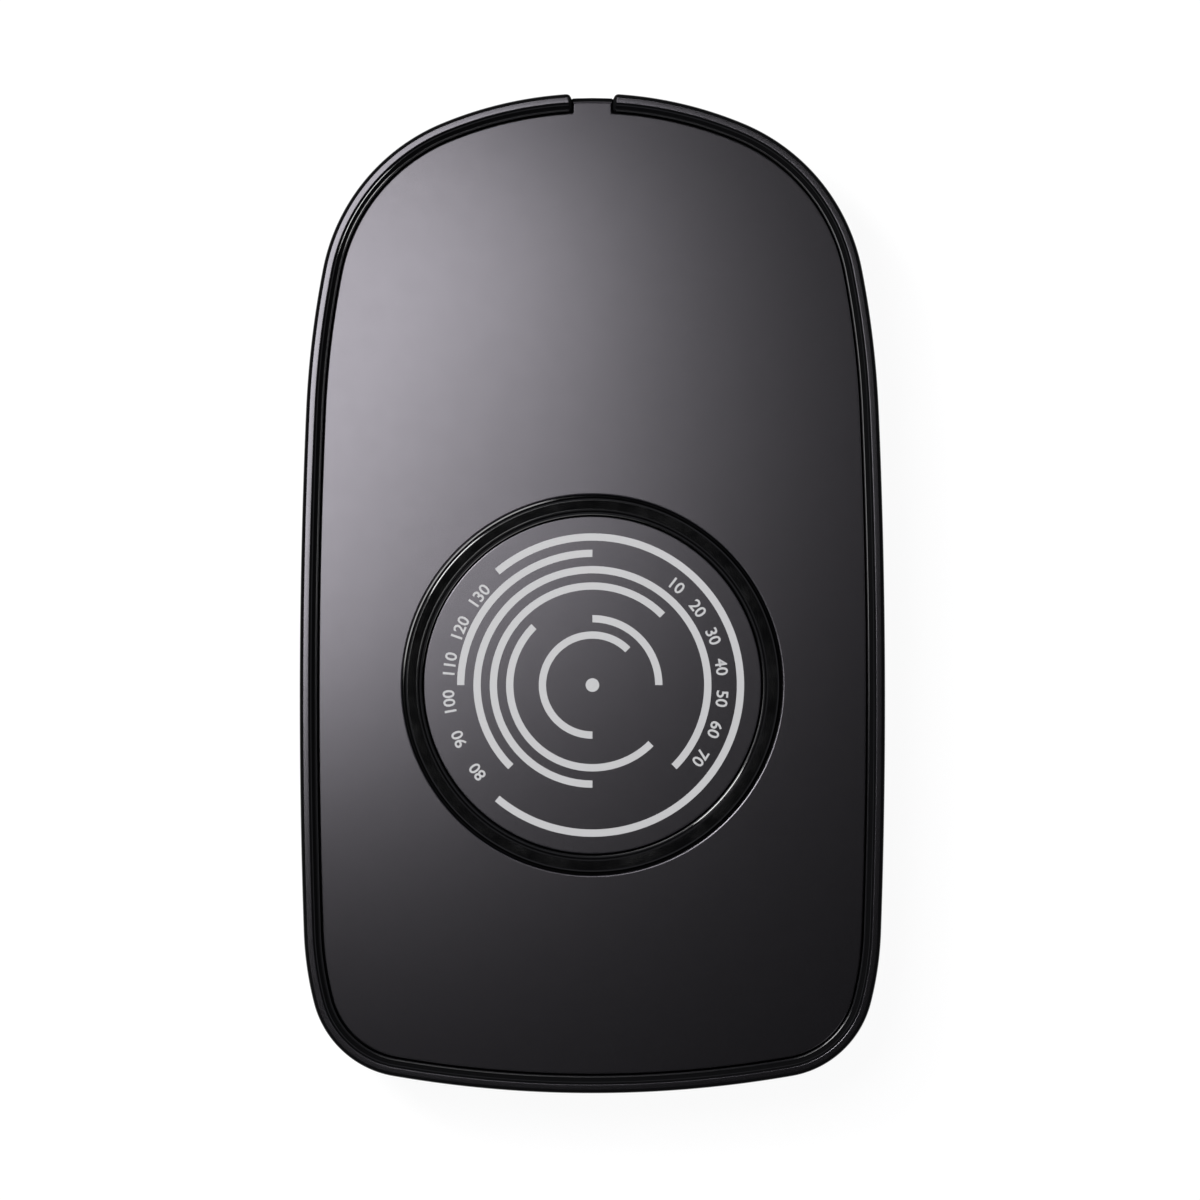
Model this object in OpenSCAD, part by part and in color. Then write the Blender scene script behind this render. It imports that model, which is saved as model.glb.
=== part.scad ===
// Mouse jiggler: a slim tray that a computer mouse stands on. A geared disc
// turns under the mouse's sensor. Z = 0 is the table, +Y is the cable gap's
// end, and X = 0, Y = 0 is the middle of the body.

/* [Outline] */
// Width across the guard rim at its widest place
body_w = 80; // [78:0.5:88]
// Length of the guard rim, from the foot end to the cable gap's end
body_l = 136.5; // [134:0.5:146]
// Radius of the foot end's middle stretch
foot_end_r = 160; // [140:5:200]
// Turn of the foot end's middle stretch, in degrees
foot_end_turn = 9.8; // [9:0.1:10.5]
// Radius of the lower corners
corner_r = 13.5; // [12.5:0.1:15]
// Turn of the lower corners, in degrees
corner_turn = 65.8; // [64:0.1:67]
// Radius that eases the lower corners into the sides
corner_ease_r = 45; // [40:1:55]
// Turn of the easing above the lower corners, in degrees
corner_ease_turn = 12.4; // [11.5:0.1:13]
// Radius of the long sides
side_r = 900; // [800:10:1000]
// Turn of the long sides, in degrees
side_turn = 4.5; // [4.3:0.1:4.7]
// Radius that eases the sides into the shoulders
shoulder_ease_r = 130; // [120:1:140]
// Turn of the easing below the shoulders, in degrees
shoulder_ease_turn = 8.6; // [8:0.1:9]
// Radius of the shoulders
shoulder_r = 27; // [25:0.5:29]
// Turn of the shoulders, in degrees
shoulder_turn = 56.4; // [55:0.1:57]

/* [Housing] */
// Height at which the rubber feet hold the shell
foot_rise = 0.6; // [0.4:0.1:1.2]
// Thickness of the shell's floor
floor_t = 1.5; // [1.3:0.1:2.5]
// Thickness of the side walls
wall_t = 1.6; // [1.5:0.1:2]
// Thickness of the deck under the cover plate
deck_t = 1.3; // [1.2:0.1:2]
// Height of the lower shell's wall above the shell's bottom
lower_wall_h = 4.4; // [4.2:0.1:5]
// Height of the lip that locates the two shells
lip_h = 1; // [0.8:0.1:1.4]
// Thickness of the locating lip
lip_t = 0.65; // [0.5:0.05:0.75]
// Radius that rounds the shell's bottom edge
bottom_round = 2.5; // [1.5:0.1:2.8]
// Distance that the guard rim overhangs the side walls
rim_overhang = 0.6; // [0.4:0.05:0.8]

/* [Guard rim] */
// Width of the guard rim
rim_w = 2.45; // [2.2:0.05:2.8]
// Height of the guard rim's crest above the cover plate
rim_rise = 1.6; // [1.2:0.1:2.2]
// Distance of the crest from the rim's outer edge
rim_crest_in = 0.95; // [0.8:0.05:1.2]
// Width of the gap that a mouse's cable goes through
cable_gap = 5.8; // [5:0.1:8]
// Depth of the rim's leg into the wall's top
rim_leg_h = 0.8; // [0.6:0.1:1]
// Width of the rim's leg in the wall's top
rim_leg_w = 1; // [0.8:0.05:1.05]

/* [Plate, bezel and disc] */
// Thickness of the satin cover plate
plate_t = 0.6; // [0.5:0.1:1]
// Distance of the disc's centre from the body's middle
disc_offset = 12.5; // [11:0.5:14]
// Radius of the turning disc
disc_r = 23.1; // [22:0.1:24]
// Thickness of the turning disc
disc_t = 1.4; // [1.2:0.1:1.8]
// Depth of the disc's face below the cover plate's face
disc_drop = 0.2; // [0.1:0.05:0.3]
// Running gap between the disc's edge and the bezel
disc_gap = 0.16; // [0.1:0.01:0.3]
// Width of the bezel's flange outside its crest
bezel_face_w = 1.85; // [1.6:0.05:2.2]
// Width of the bezel's slope between its crest and the disc
bezel_slope_w = 0.84; // [0.7:0.02:1]
// Height of the bezel's crest above the cover plate
bezel_rise = 0.5; // [0.3:0.05:0.8]

/* [Print on the disc] */
// Radius of the centre dot
dot_r = 0.93; // [0.7:0.01:1.2]
// Width of the printed arcs
arc_w = 1; // [0.8:0.05:1.2]
// Middle radius of the innermost arc
arc_r = 6.84; // [6:0.02:7]
// Step between the arcs' radii
arc_step = 2.235; // [2.1:0.005:2.3]
// Thickness of the ink
ink_t = 0.05; // [0.04:0.01:0.1]

/* [Gears] */
// Module of all the gears
gear_module = 0.5; // [0.45:0.01:0.55]
// Teeth of the motor's pinion
pinion_teeth = 12; // [11:1:14]
// Teeth of the first gear's wheel
first_wheel_teeth = 48; // [44:1:52]
// Teeth of the second gear's wheel
second_wheel_teeth = 42; // [38:1:46]
// Teeth of the turntable's gear
turntable_teeth = 72; // [66:1:78]
// Thickness of every gear's toothed stretch
gear_face = 1.6; // [1.4:0.1:2]
// Free height between gears that pass over each other
level_gap = 0.2; // [0.2:0.05:0.4]
// Free play between meshed teeth
backlash = 0.12; // [0.1:0.01:0.16]
// Radius of the steel pins that the small gears turn on
gear_pin_r = 0.75; // [0.6:0.05:0.8]
// Running clearance of every pin and shaft, on the radius
running_gap = 0.05; // [0.03:0.01:0.08]
// Direction from the disc to the second gear, in degrees
second_gear_dir = 100; // [98:1:102]
// Direction from the second to the first gear, in degrees
first_gear_dir = 25; // [23:1:27]
// Direction from the first gear to the motor, in degrees
motor_dir = 10; // [8:1:12]

/* [Turntable bearing] */
// Radius of the fixed pin that the turntable turns on
turntable_pin_r = 1.5; // [1.3:0.05:1.7]
// Wall of the brass bush
bush_t = 1.05; // [0.8:0.05:1.2]
// Radius of the turntable gear's hub
hub_r = 6; // [5.5:0.1:6.5]
// Width of the key that turns the disc with the hub
key_w = 1.6; // [1.2:0.1:2]
// Thickness of the two washers
washer_t = 0.4; // [0.3:0.05:0.5]

/* [Motor] */
// Radius of the motor's steel can
can_r = 10; // [9:0.1:10.2]
// Height of the motor's steel can
can_h = 6.6; // [6.4:0.1:8]
// Thickness of the can's steel
can_t = 0.5; // [0.4:0.05:0.6]
// Radius of the motor's shaft
shaft_r = 0.75; // [0.6:0.05:0.8]
// Thickness of the end cap
end_cap_t = 1.2; // [1:0.1:1.4]
// Thickness of the magnets
magnet_t = 1.15; // [1:0.05:1.2]
// Air gap between magnets and armature
air_gap = 0.4; // [0.3:0.05:0.5]
// Thickness of the clamping bracket's sheet
bracket_t = 0.6; // [0.5:0.1:1]

/* [Board and inlet] */
// Width of the circuit board
board_w = 38; // [36:1:42]
// Length of the circuit board
board_l = 22; // [21:0.5:22.5]
// Thickness of the circuit board
board_t = 1; // [0.8:0.1:1.2]
// Height of the board's underside above the floor
board_rise = 1.5; // [1.5:0.1:2]
// Width of the power inlet's shell
usb_w = 8.94; // [8.8:0.02:9.1]
// Height of the power inlet's shell
usb_h = 3.16; // [3:0.02:3.3]
// Length of the power inlet's shell
usb_l = 7.3; // [6.8:0.1:8]
// Thickness of the inlet shell's sheet
usb_t = 0.3; // [0.25:0.05:0.35]

/* [Power switch] */
// Distance of the switch from the body's middle, towards the gap
switch_y = 10; // [6:1:14]
// Travel of the switch's knob
switch_travel = 2; // [1.5:0.1:2.5]
// Length of the knob along its travel
knob_l = 3; // [2.6:0.1:3.4]
// Height of the knob
knob_h = 1.6; // [1.4:0.1:1.8]
// Depth of the finger recess round the knob
recess_depth = 0.8; // [0.6:0.05:0.9]
// Distance that the knob stands proud of the wall
knob_proud = 0.4; // [0.2:0.05:0.5]

/* [Feet and screws] */
// Radius of a rubber foot
foot_r = 5; // [4.5:0.1:5.5]
// Depth of the recess that holds a foot
foot_recess = 0.6; // [0.4:0.1:0.8]
// Distance of the housing screws from the long sides
screw_in_x = 13.5; // [13:0.1:15]
// Distance of the upper housing screws from the body's top end
screw_in_top = 22.5; // [22:0.5:24]
// Distance of the lower housing screws from the body's foot end
screw_in_foot = 14.5; // [14:0.5:17]
// Radius of a housing screw's thread
screw_r = 1.05; // [0.9:0.05:1.2]
// Radius of the thread of the board's and bracket's screws
small_screw_r = 0.9; // [0.8:0.05:1]

/* [Hidden] */
$fn = 64;
// Longest facet of the outline, and its largest turn in degrees
facet_run = 6;
facet_turn = 4;
// Depth by which a cutting shape passes the face that it cuts
cut = 1;
// Clearance between parts that are pushed or laid together
seat_gap = 0.05;
// Clearance round a screw's shank and round its head, on the radius
shank_gap = 0.15;
head_gap = 0.2;
// Material left under a blind hole
hole_floor = 0.5;
// Differences below this are rounding, not a step in the form
rounding = 0.01;
// Turn of each facet of a rounded edge or end, in degrees
round_turn = 18;
// Facets of the bezel and the disc, and of the printed arcs
disc_facets = 128;
print_facets = 96;

gloss_black = [0.05, 0.05, 0.055];
satin_charcoal = [0.2, 0.19, 0.21];
ink_grey = [0.78, 0.78, 0.78];
soft_black = [0.08, 0.08, 0.08];
gear_white = [0.88, 0.87, 0.83];
steel = [0.7, 0.71, 0.73];
brass = [0.78, 0.62, 0.32];
copper = [0.72, 0.42, 0.26];
board_green = [0.08, 0.3, 0.18];
lead_red = [0.7, 0.1, 0.08];

// ---- Outline: seven arcs that run into each other, mirrored about X = 0 ----

given_arcs = [[foot_end_r, foot_end_turn], [corner_r, corner_turn],
    [corner_ease_r, corner_ease_turn], [side_r, side_turn],
    [shoulder_ease_r, shoulder_ease_turn], [shoulder_r, shoulder_turn]];

// Place and heading [x, y, heading] after an arc that starts at place "from"
function along_arc(from, r, turn) = [
    from[0] + r * (sin(from[2] + turn) - sin(from[2])),
    from[1] + r * (cos(from[2]) - cos(from[2] + turn)),
    from[2] + turn];

// Place and heading at which arc number i starts
function arc_start(i) = i == 0
    ? [0, 0, 0]
    : along_arc(arc_start(i - 1), given_arcs[i - 1][0], given_arcs[i - 1][1]);

// Places along one arc, evenly spaced, without the arc's end
function arc_stations(from, r, turn) =
    let (steps = max(ceil(turn / facet_turn), ceil(r * turn * PI / 180 / facet_run)))
    [for (k = [0:steps - 1]) along_arc(from, r, turn * k / steps)];

given_stations = [for (i = [0:len(given_arcs) - 1])
    each arc_stations(arc_start(i), given_arcs[i][0], given_arcs[i][1])];

// The raw chain is stretched a little to the stated width
x_scale = body_w / 2 / max([for (s = given_stations) s[0]]);

// The top arc closes the half outline on X = 0, heading straight left
top_start = arc_start(len(given_arcs));
top_r = top_start[0] / sin(top_start[2]);

// Place on the top arc at distance x from the middle of the cable gap
function gap_station(x) =
    along_arc(top_start, top_r, 180 - asin(x / x_scale / top_r) - top_start[2]);

// The guard rim keeps its full section up to here
rim_end_run = 1.4;
rim_end = gap_station(cable_gap / 2 + rim_end_run);

stations = concat(given_stations,
    arc_stations(top_start, top_r, rim_end[2] - top_start[2]),
    arc_stations(rim_end, top_r, 180 - rim_end[2]),
    [gap_station(0)]);
last = len(stations) - 1;

// The chain is stretched so that the rim's two ends reach the stated length
y_scale = body_l / rim_end[1];

// Point of the right half at a station, moved inwards along its normal
function inset_point(s, inset) =
    let (tangent = [cos(s[2]) * x_scale, sin(s[2]) * y_scale])
    let (normal = [tangent.y, -tangent.x] / norm(tangent))
    [s[0] * x_scale, s[1] * y_scale - body_l / 2] - inset * normal;

// Closed outline at a constant distance inside the rim's outer edge
function outline(inset) = concat(
    [for (s = stations) inset_point(s, inset)],
    [for (i = [last - 1:-1:1]) let (p = inset_point(stations[i], inset)) [-p.x, p.y]]);

// Half of the body's width at a given y
function half_width(y, inset) =
    lookup(y, [for (s = stations) let (p = inset_point(s, inset)) [p.y, p.x]]);

// ---- Heights, from the table up ----

shell_z = foot_rise;
floor_z = shell_z + floor_t;
seam_z = shell_z + lower_wall_h;
can_top_z = floor_z + can_h;
bracket_top_z = can_top_z + bracket_t;
level_step = gear_face + level_gap;
top_level_z = bracket_top_z + level_gap;
mid_level_z = top_level_z - level_step;
low_level_z = mid_level_z - level_step;
deck_gap = 0.4;
deck_z = top_level_z + gear_face + deck_gap;
deck_top_z = deck_z + deck_t;
plate_top_z = deck_top_z + plate_t;
disc_top_z = plate_top_z - disc_drop;
disc_z = disc_top_z - disc_t;

// ---- Places in plan ----

wall_in = rim_overhang + wall_t;
gap_sill_gap = 0.2;
gap_sill_w = cable_gap - 2 * gap_sill_gap;
disc_at = [0, -disc_offset];
addendum = 0.85 * gear_module;
dedendum = 1.2 * gear_module;

function pitch_r(teeth) = teeth * gear_module / 2;
function meshed_at(centre, dir, teeth_a, teeth_b) =
    centre + (pitch_r(teeth_a) + pitch_r(teeth_b)) * [cos(dir), sin(dir)];

second_at = meshed_at(disc_at, second_gear_dir, turntable_teeth, pinion_teeth);
first_at = meshed_at(second_at, first_gear_dir, second_wheel_teeth, pinion_teeth);
motor_at = meshed_at(first_at, motor_dir, first_wheel_teeth, pinion_teeth);

// Turn of gear b that puts its space opposite gear a's tooth
function mesh_turn(dir, turn_a, teeth_a, teeth_b) =
    dir + 180 - (0.5 - (dir - turn_a) * teeth_a / 360) * 360 / teeth_b;
second_pinion_turn = mesh_turn(second_gear_dir, 0, turntable_teeth, pinion_teeth);
first_pinion_turn = mesh_turn(first_gear_dir, 0, second_wheel_teeth, pinion_teeth);
motor_pinion_turn = mesh_turn(motor_dir, 0, first_wheel_teeth, pinion_teeth);

screw_places = [for (side = [-1, 1]) each [
    [side * (body_w / 2 - screw_in_x), body_l / 2 - screw_in_top],
    [side * (body_w / 2 - screw_in_x), screw_in_foot - body_l / 2]]];

// The bracket's two screw posts stand across the line from motor to first gear
post_wall = 1.5;
bracket_post_r = small_screw_r + post_wall;
bracket_post_gap = 0.6;
bracket_reach = can_r + bracket_post_gap + bracket_post_r;
bracket_places = [for (side = [90, -90])
    motor_at + bracket_reach * [cos(motor_dir + side), sin(motor_dir + side)]];

board_end_gap = 1.3;
board_side_gap = 0.4;
board_y = body_l / 2 - wall_in - board_end_gap - board_l;
board_z = floor_z + board_rise;
board_top_z = board_z + board_t;
board_post_r = small_screw_r + post_wall;
board_screw_in = 3.2;
board_screw_places = [for (side = [-1, 1])
    [side * (board_w / 2 - board_screw_in), board_y + board_screw_in]];
usb_recess = 0.3;
usb_front_y = body_l / 2 - rim_overhang - usb_recess;
usb_z = board_top_z + usb_h / 2;
usb_opening_gap = 0.15;

// The switch stands on a cradle against the left wall
switch_l = 8.6;
switch_d = 3.6;
switch_h = 3.6;
slot_gap = 0.3;
stem_l = 1.2;
stem_h = 1.2;
switch_wall_x = half_width(switch_y, rim_overhang);
switch_face_x = half_width(switch_y + switch_l / 2, wall_in) - seat_gap;
switch_z = (seam_z + lip_h + deck_z) / 2;
recess_floor_x = switch_wall_x - recess_depth;
recess_margin = 0.8;

// ---- Shared shapes ----

// Prism over an inset outline, between two heights
module outline_slab(inset, z_low, z_high) {
    translate([0, 0, z_low]) linear_extrude(z_high - z_low) polygon(outline(inset));
}

// Solid over rings of equally many points, each ring one step further along
module skin(rings) {
    count = len(rings[0]);
    end = (len(rings) - 1) * count;
    polyhedron(
        points = [for (ring = rings) each ring],
        faces = concat(
            [[for (j = [0:count - 1]) j]],
            [for (k = [0:len(rings) - 2], j = [0:count - 1])
                let (here = k * count, next = here + count, j2 = (j + 1) % count)
                [here + j, next + j, next + j2, here + j2]],
            [[for (j = [count - 1:-1:0]) end + j]]),
        convexity = 10);
}

// Upright cylinder at a place in plan, between two heights
module post(at, r, z_low, z_high) {
    translate([at.x, at.y, z_low]) cylinder(r = r, h = z_high - z_low);
}

// Upright tube at a place in plan, between two heights
module tube(at, r_out, r_in, z_low, z_high) {
    difference() {
        post(at, r_out, z_low, z_high);
        post(at, r_in, z_low - cut, z_high + cut);
    }
}

// Bar with round ends along X, seen from the front, and "length" deep along Y
module slotted_bar(width, height, length) {
    end_x = (width - height) / 2;
    rotate([90, 0, 0]) linear_extrude(length, center = true) {
        square([2 * end_x, height], center = true);
        translate([end_x, 0]) circle(d = height);
        translate([-end_x, 0]) circle(d = height);
    }
}

// Distance from the pitch circle to a flank's two middle points
flank_step = 0.3 * gear_module;
pressure_angle = 20;
// Half angle of an involute tooth at radius r, in degrees
function involute(angle) = tan(angle) * 180 / PI - angle;
function tooth_half(teeth, r) =
    let (base_r = pitch_r(teeth) * cos(pressure_angle))
    let (play = backlash / 4 / pitch_r(teeth) * 180 / PI)
    90 / teeth - play + involute(pressure_angle) - involute(acos(min(1, base_r / r)));

// Outline of a spur gear with a tooth centred on angle "turn"
function gear_outline(teeth, turn) =
    let (flank = [for (part = [-dedendum, -flank_step, flank_step, addendum])
        pitch_r(teeth) + part])
    [for (i = [0:teeth - 1]) let (middle = turn + i * 360 / teeth) each concat(
        [for (r = flank) let (a = middle - tooth_half(teeth, r)) r * [cos(a), sin(a)]],
        [for (k = [len(flank) - 1:-1:0]) let (r = flank[k], a = middle + tooth_half(teeth, r))
            r * [cos(a), sin(a)]])];

module gear(at, teeth, turn, z_low) {
    translate([at.x, at.y, z_low]) linear_extrude(gear_face)
        polygon(gear_outline(teeth, turn));
}

// Length and width of the recess in a screw's head, in radii of the head
recess_reach = 1.2;
recess_width = 0.3;

// Pan-head screw, point up or down, with a cross recess in its head
module screw(at, r, head_r, head_t, seat_z, length, up) {
    direction = up ? 1 : -1;
    translate([at.x, at.y, seat_z]) mirror([0, 0, up ? 0 : 1]) difference() {
        union() {
            cylinder(r = r, h = length);
            translate([0, 0, -head_t]) cylinder(r = head_r, h = head_t);
        }
        for (turn = [0, 90]) {
            rotate(turn) translate([0, 0, -head_t])
                cube([head_r * recess_reach, head_r * recess_width, head_t], center = true);
        }
    }
}

// Round lead along a cubic curve from a to d, with handles b and c
lead_r = 0.45;
lead_steps = 16;
lead_facet = 45;
function on_curve(p, t) = pow(1 - t, 3) * p[0] + 3 * t * pow(1 - t, 2) * p[1]
    + 3 * t * t * (1 - t) * p[2] + pow(t, 3) * p[3];
function curve_way(p, t) = pow(1 - t, 2) * (p[1] - p[0]) + 2 * t * (1 - t) * (p[2] - p[1])
    + t * t * (p[3] - p[2]);
module lead(a, b, c, d) {
    skin([for (k = [0:lead_steps])
        let (t = k / lead_steps, way = curve_way([a, b, c, d], t))
        let (side = cross(way, [0, 0, 1]) / norm(cross(way, [0, 0, 1])))
        let (rise = cross(way, side) / norm(way))
        [for (turn = [0:lead_facet:360 - lead_facet])
            on_curve([a, b, c, d], t) + lead_r * (cos(turn) * side + sin(turn) * rise)]]);
}

// ---- Housing ----

pin_boss_r = 2.2;
turntable_boss_r = 4;
turntable_boss_z = low_level_z - running_gap - washer_t;
pin_depth = 3;
pillar_rise = 0.6;
pillar_z = seam_z + pillar_rise;
screw_head_r = 1.9;
screw_head_t = 1;
small_head_r = 1.7;
small_head_t = 0.9;
pillar_r = screw_head_r + post_wall;
screw_seat_rise = 0.9;
screw_seat_z = floor_z + screw_seat_rise;
screw_hole_gap = 1;
screw_hole_z = deck_z - screw_hole_gap;
screw_end_gap = 1;
collar_t = 1.2;
collar_h = 2;
lug_w = 5;
lug_dir = 135;
lug_side_gap = 1;
cradle_t = 1;

// Lower shell's outer form: its bottom edge is a quarter round
module lower_form() {
    skin([for (a = [0:round_turn:90])
        let (inset = rim_overhang + bottom_round * (1 - sin(a)))
        let (z = a < 90 ? shell_z + bottom_round * (1 - cos(a)) : seam_z)
        [for (p = outline(inset)) [p.x, p.y, z]]]);
}

// Opening for the power inlet's shell through the end wall
module inlet_opening() {
    translate([0, body_l / 2, usb_z])
        slotted_bar(usb_w + 2 * usb_opening_gap, usb_h + 2 * usb_opening_gap, 4 * wall_in);
}

module base_shell() color(gloss_black) difference() {
    union() {
        difference() {
            lower_form();
            outline_slab(wall_in, floor_z, seam_z + cut);
        }
        // Lip that the upper housing slides over
        difference() {
            outline_slab(wall_in - lip_t, floor_z, seam_z + lip_h);
            outline_slab(wall_in, floor_z - cut, seam_z + lip_h + cut);
        }
        for (at = screw_places) post(at, pillar_r, shell_z + foot_recess, pillar_z);
        post(disc_at, turntable_boss_r, floor_z, turntable_boss_z);
        post(second_at, pin_boss_r, floor_z, low_level_z - level_gap);
        post(first_at, pin_boss_r, floor_z, mid_level_z - level_gap);
        for (at = bracket_places) post(at, bracket_post_r, floor_z, can_top_z);
        for (at = board_screw_places) post(at, board_post_r, floor_z, board_z);
        difference() {
            tube(motor_at, can_r + seat_gap + collar_t, can_r + seat_gap,
                floor_z, floor_z + collar_h);
            translate([motor_at.x, motor_at.y, floor_z]) rotate(lug_dir)
                translate([can_r - cut, -lug_w / 2 - lug_side_gap, 0])
                    cube([collar_t + 2 * cut, lug_w + 2 * lug_side_gap, collar_h + cut]);
        }
        switch_cradle();
    }
    post(disc_at, turntable_pin_r, turntable_boss_z - pin_depth, turntable_boss_z + cut);
    post(second_at, gear_pin_r, low_level_z - level_gap - pin_depth, low_level_z);
    post(first_at, gear_pin_r, mid_level_z - level_gap - pin_depth, mid_level_z);
    for (at = bracket_places) post(at, small_screw_r, floor_z + hole_floor, can_top_z + cut);
    for (at = board_screw_places) post(at, small_screw_r, floor_z, board_z + cut);
    for (at = screw_places) {
        post(at, foot_r + seat_gap, shell_z - cut, shell_z + foot_recess);
        post(at, screw_head_r + head_gap, shell_z - cut, screw_seat_z);
        post(at, screw_r + shank_gap, shell_z - cut, pillar_z + cut);
    }
    inlet_opening();
}

// Seat for the switch, with a cheek at each end of it
module switch_cradle() {
    seat_z = switch_z - switch_h / 2;
    translate([-switch_face_x, switch_y, floor_z]) {
        translate([0, -switch_l / 2, 0]) cube([switch_d, switch_l, seat_z - floor_z]);
        for (side = [-1, 1]) {
            translate([0, side * (switch_l / 2 + seat_gap + cradle_t / 2) - cradle_t / 2, 0])
                cube([switch_d, cradle_t, seat_z - floor_z + switch_h / 2]);
        }
    }
}

module top_housing() color(gloss_black) difference() {
    union() {
        difference() {
            outline_slab(rim_overhang, seam_z, deck_top_z);
            outline_slab(wall_in, seam_z - cut, deck_z);
            outline_slab(wall_in - lip_t - seat_gap, seam_z - cut, seam_z + lip_h + seat_gap);
        }
        for (at = screw_places) post(at, screw_r + post_wall, pillar_z, deck_z + deck_t / 2);
    }
    for (at = screw_places) post(at, screw_r, pillar_z - cut, screw_hole_z);
    post(disc_at, bezel_skirt_r + seat_gap, deck_z - cut, deck_top_z + cut);
    // Rebate for the guard rim's leg, left whole in the cable gap
    difference() {
        outline_slab(rim_overhang - cut, deck_top_z - rim_leg_h, deck_top_z + cut);
        outline_slab(rim_overhang + rim_leg_w, deck_top_z - rim_leg_h - cut,
            deck_top_z + 2 * cut);
        translate([-gap_sill_w / 2, 0, deck_z]) cube([gap_sill_w, body_l, 4 * deck_t]);
    }
    inlet_opening();
    switch_slot();
}

// Finger recess and slot for the switch's knob through the left wall
module switch_slot() {
    recess_l = knob_l + switch_travel + 2 * recess_margin;
    slot_l = stem_l + switch_travel + 2 * slot_gap;
    translate([-recess_floor_x - 2 * cut, switch_y, switch_z]) rotate(90)
        slotted_bar(recess_l, knob_h + 2 * recess_margin, 4 * cut);
    translate([-recess_floor_x, switch_y, switch_z])
        cube([6 * wall_t, slot_l, stem_h + 2 * slot_gap], center = true);
}

module top_plate() color(satin_charcoal) translate([0, 0, deck_top_z])
    linear_extrude(plate_t) difference() {
        union() {
            polygon(outline(rim_w + seat_gap));
            // Tongue of the plate that lies in the cable gap
            intersection() {
                polygon(outline(rim_overhang + gap_sill_gap));
                translate([-gap_sill_w / 2, 0]) square([gap_sill_w, body_l]);
            }
        }
        translate(disc_at) circle(r = bezel_r + seat_gap, $fn = disc_facets);
    }

// ---- Guard rim: a bead carried round the outline, open at the cable gap ----

rim_top_z = plate_top_z + rim_rise;
rim_shoulder_rise = 0.35;
rim_shoulder_z = deck_top_z + rim_shoulder_rise;
rim_under_bevel = 0.3;
rim_steps = 5;

// Points of a quarter ellipse between two angles
function quarter(centre, a, b, start, steps) = [for (k = [0:steps])
    let (angle = start + 90 * k / steps)
    centre + [a * cos(angle), b * sin(angle)]];

// Section of the rim as [distance inwards, height]
rim_section = concat(
    [[rim_under_bevel, deck_top_z - rim_leg_h],
        [rim_overhang + rim_leg_w - seat_gap, deck_top_z - rim_leg_h],
        [rim_overhang + rim_leg_w - seat_gap, deck_top_z],
        [rim_w, deck_top_z]],
    quarter([rim_crest_in, plate_top_z], rim_w - rim_crest_in, rim_rise, 0, rim_steps),
    [for (p = quarter([rim_crest_in, rim_shoulder_z], rim_crest_in,
        rim_top_z - rim_shoulder_z, 90, rim_steps)) if (p.x < rim_crest_in - rounding) p],
    [[0, deck_top_z - rim_leg_h + rim_under_bevel]]);
rim_heart = [(rim_w + rim_overhang) / 2, deck_top_z];
rim_end_size = 0.35;

// Stations of the right half with the section's size at each one
rim_stations = concat(
    [for (s = stations) if (s[2] < rim_end[2] - rounding) [s, 1]],
    [for (a = [0:round_turn:90])
        [gap_station(cable_gap / 2 + rim_end_run * (1 - sin(a))), max(rim_end_size, cos(a))]]);

function rim_ring(station, size, side) = [for (p = rim_section)
    let (q = rim_heart + size * (p - rim_heart))
    let (at = inset_point(station, q.x))
    [side * at.x, at.y, q.y]];

module guard_rim() color(gloss_black) {
    ends = len(rim_stations) - 1;
    skin(concat(
        [for (i = [ends:-1:1]) rim_ring(rim_stations[i][0], rim_stations[i][1], -1)],
        [for (i = [0:ends]) rim_ring(rim_stations[i][0], rim_stations[i][1], 1)]));
}

// ---- Bezel and turntable ----

bezel_in_r = disc_r + disc_gap;
bezel_crest_r = bezel_in_r + bezel_slope_w;
bezel_r = bezel_crest_r + bezel_face_w;
bezel_skirt_out = 0.4;
bezel_skirt_r = bezel_crest_r + bezel_skirt_out;
bezel_edge_h = 0.1;
bezel_steps = 6;
// Depth below the disc's face at which the bezel's slope ends
bezel_dip = 0.2;

module bezel_ring() color(gloss_black) translate([disc_at.x, disc_at.y, 0])
    rotate_extrude($fn = disc_facets) polygon(concat(
        [[bezel_in_r, deck_z], [bezel_skirt_r, deck_z], [bezel_skirt_r, deck_top_z],
            [bezel_r, deck_top_z]],
        quarter([bezel_crest_r, plate_top_z - bezel_edge_h], bezel_face_w,
            bezel_rise + bezel_edge_h, 0, bezel_steps),
        [[bezel_in_r, disc_top_z - bezel_dip]]));

disc_socket_t = 1.5;
disc_socket_h = 2.2;
edge_chamfer = 0.15;
key_reach = 0.9;
key_end_gap = 0.2;

module turntable_disc() color(satin_charcoal) translate([disc_at.x, disc_at.y, 0])
    difference() {
        rotate_extrude($fn = disc_facets) polygon([
            [0, disc_z], [hub_r + seat_gap, disc_z],
            [hub_r + seat_gap, disc_z - disc_socket_h],
            [hub_r + seat_gap + disc_socket_t, disc_z - disc_socket_h],
            [hub_r + seat_gap + disc_socket_t, disc_z], [disc_r, disc_z],
            [disc_r, disc_top_z - edge_chamfer], [disc_r - edge_chamfer, disc_top_z],
            [0, disc_top_z]]);
        translate([hub_r, 0, disc_z - disc_socket_h / 2])
            cube([2 * (key_reach + key_end_gap), key_w + 2 * seat_gap, disc_socket_h],
                center = true);
    }

// Start and span of each printed arc, from the inside out, in degrees
print_arcs = [[45, 225], [0, 90], [135, 180], [45, 225], [-45, 270], [90, 90], [-130, 260]];

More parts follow.
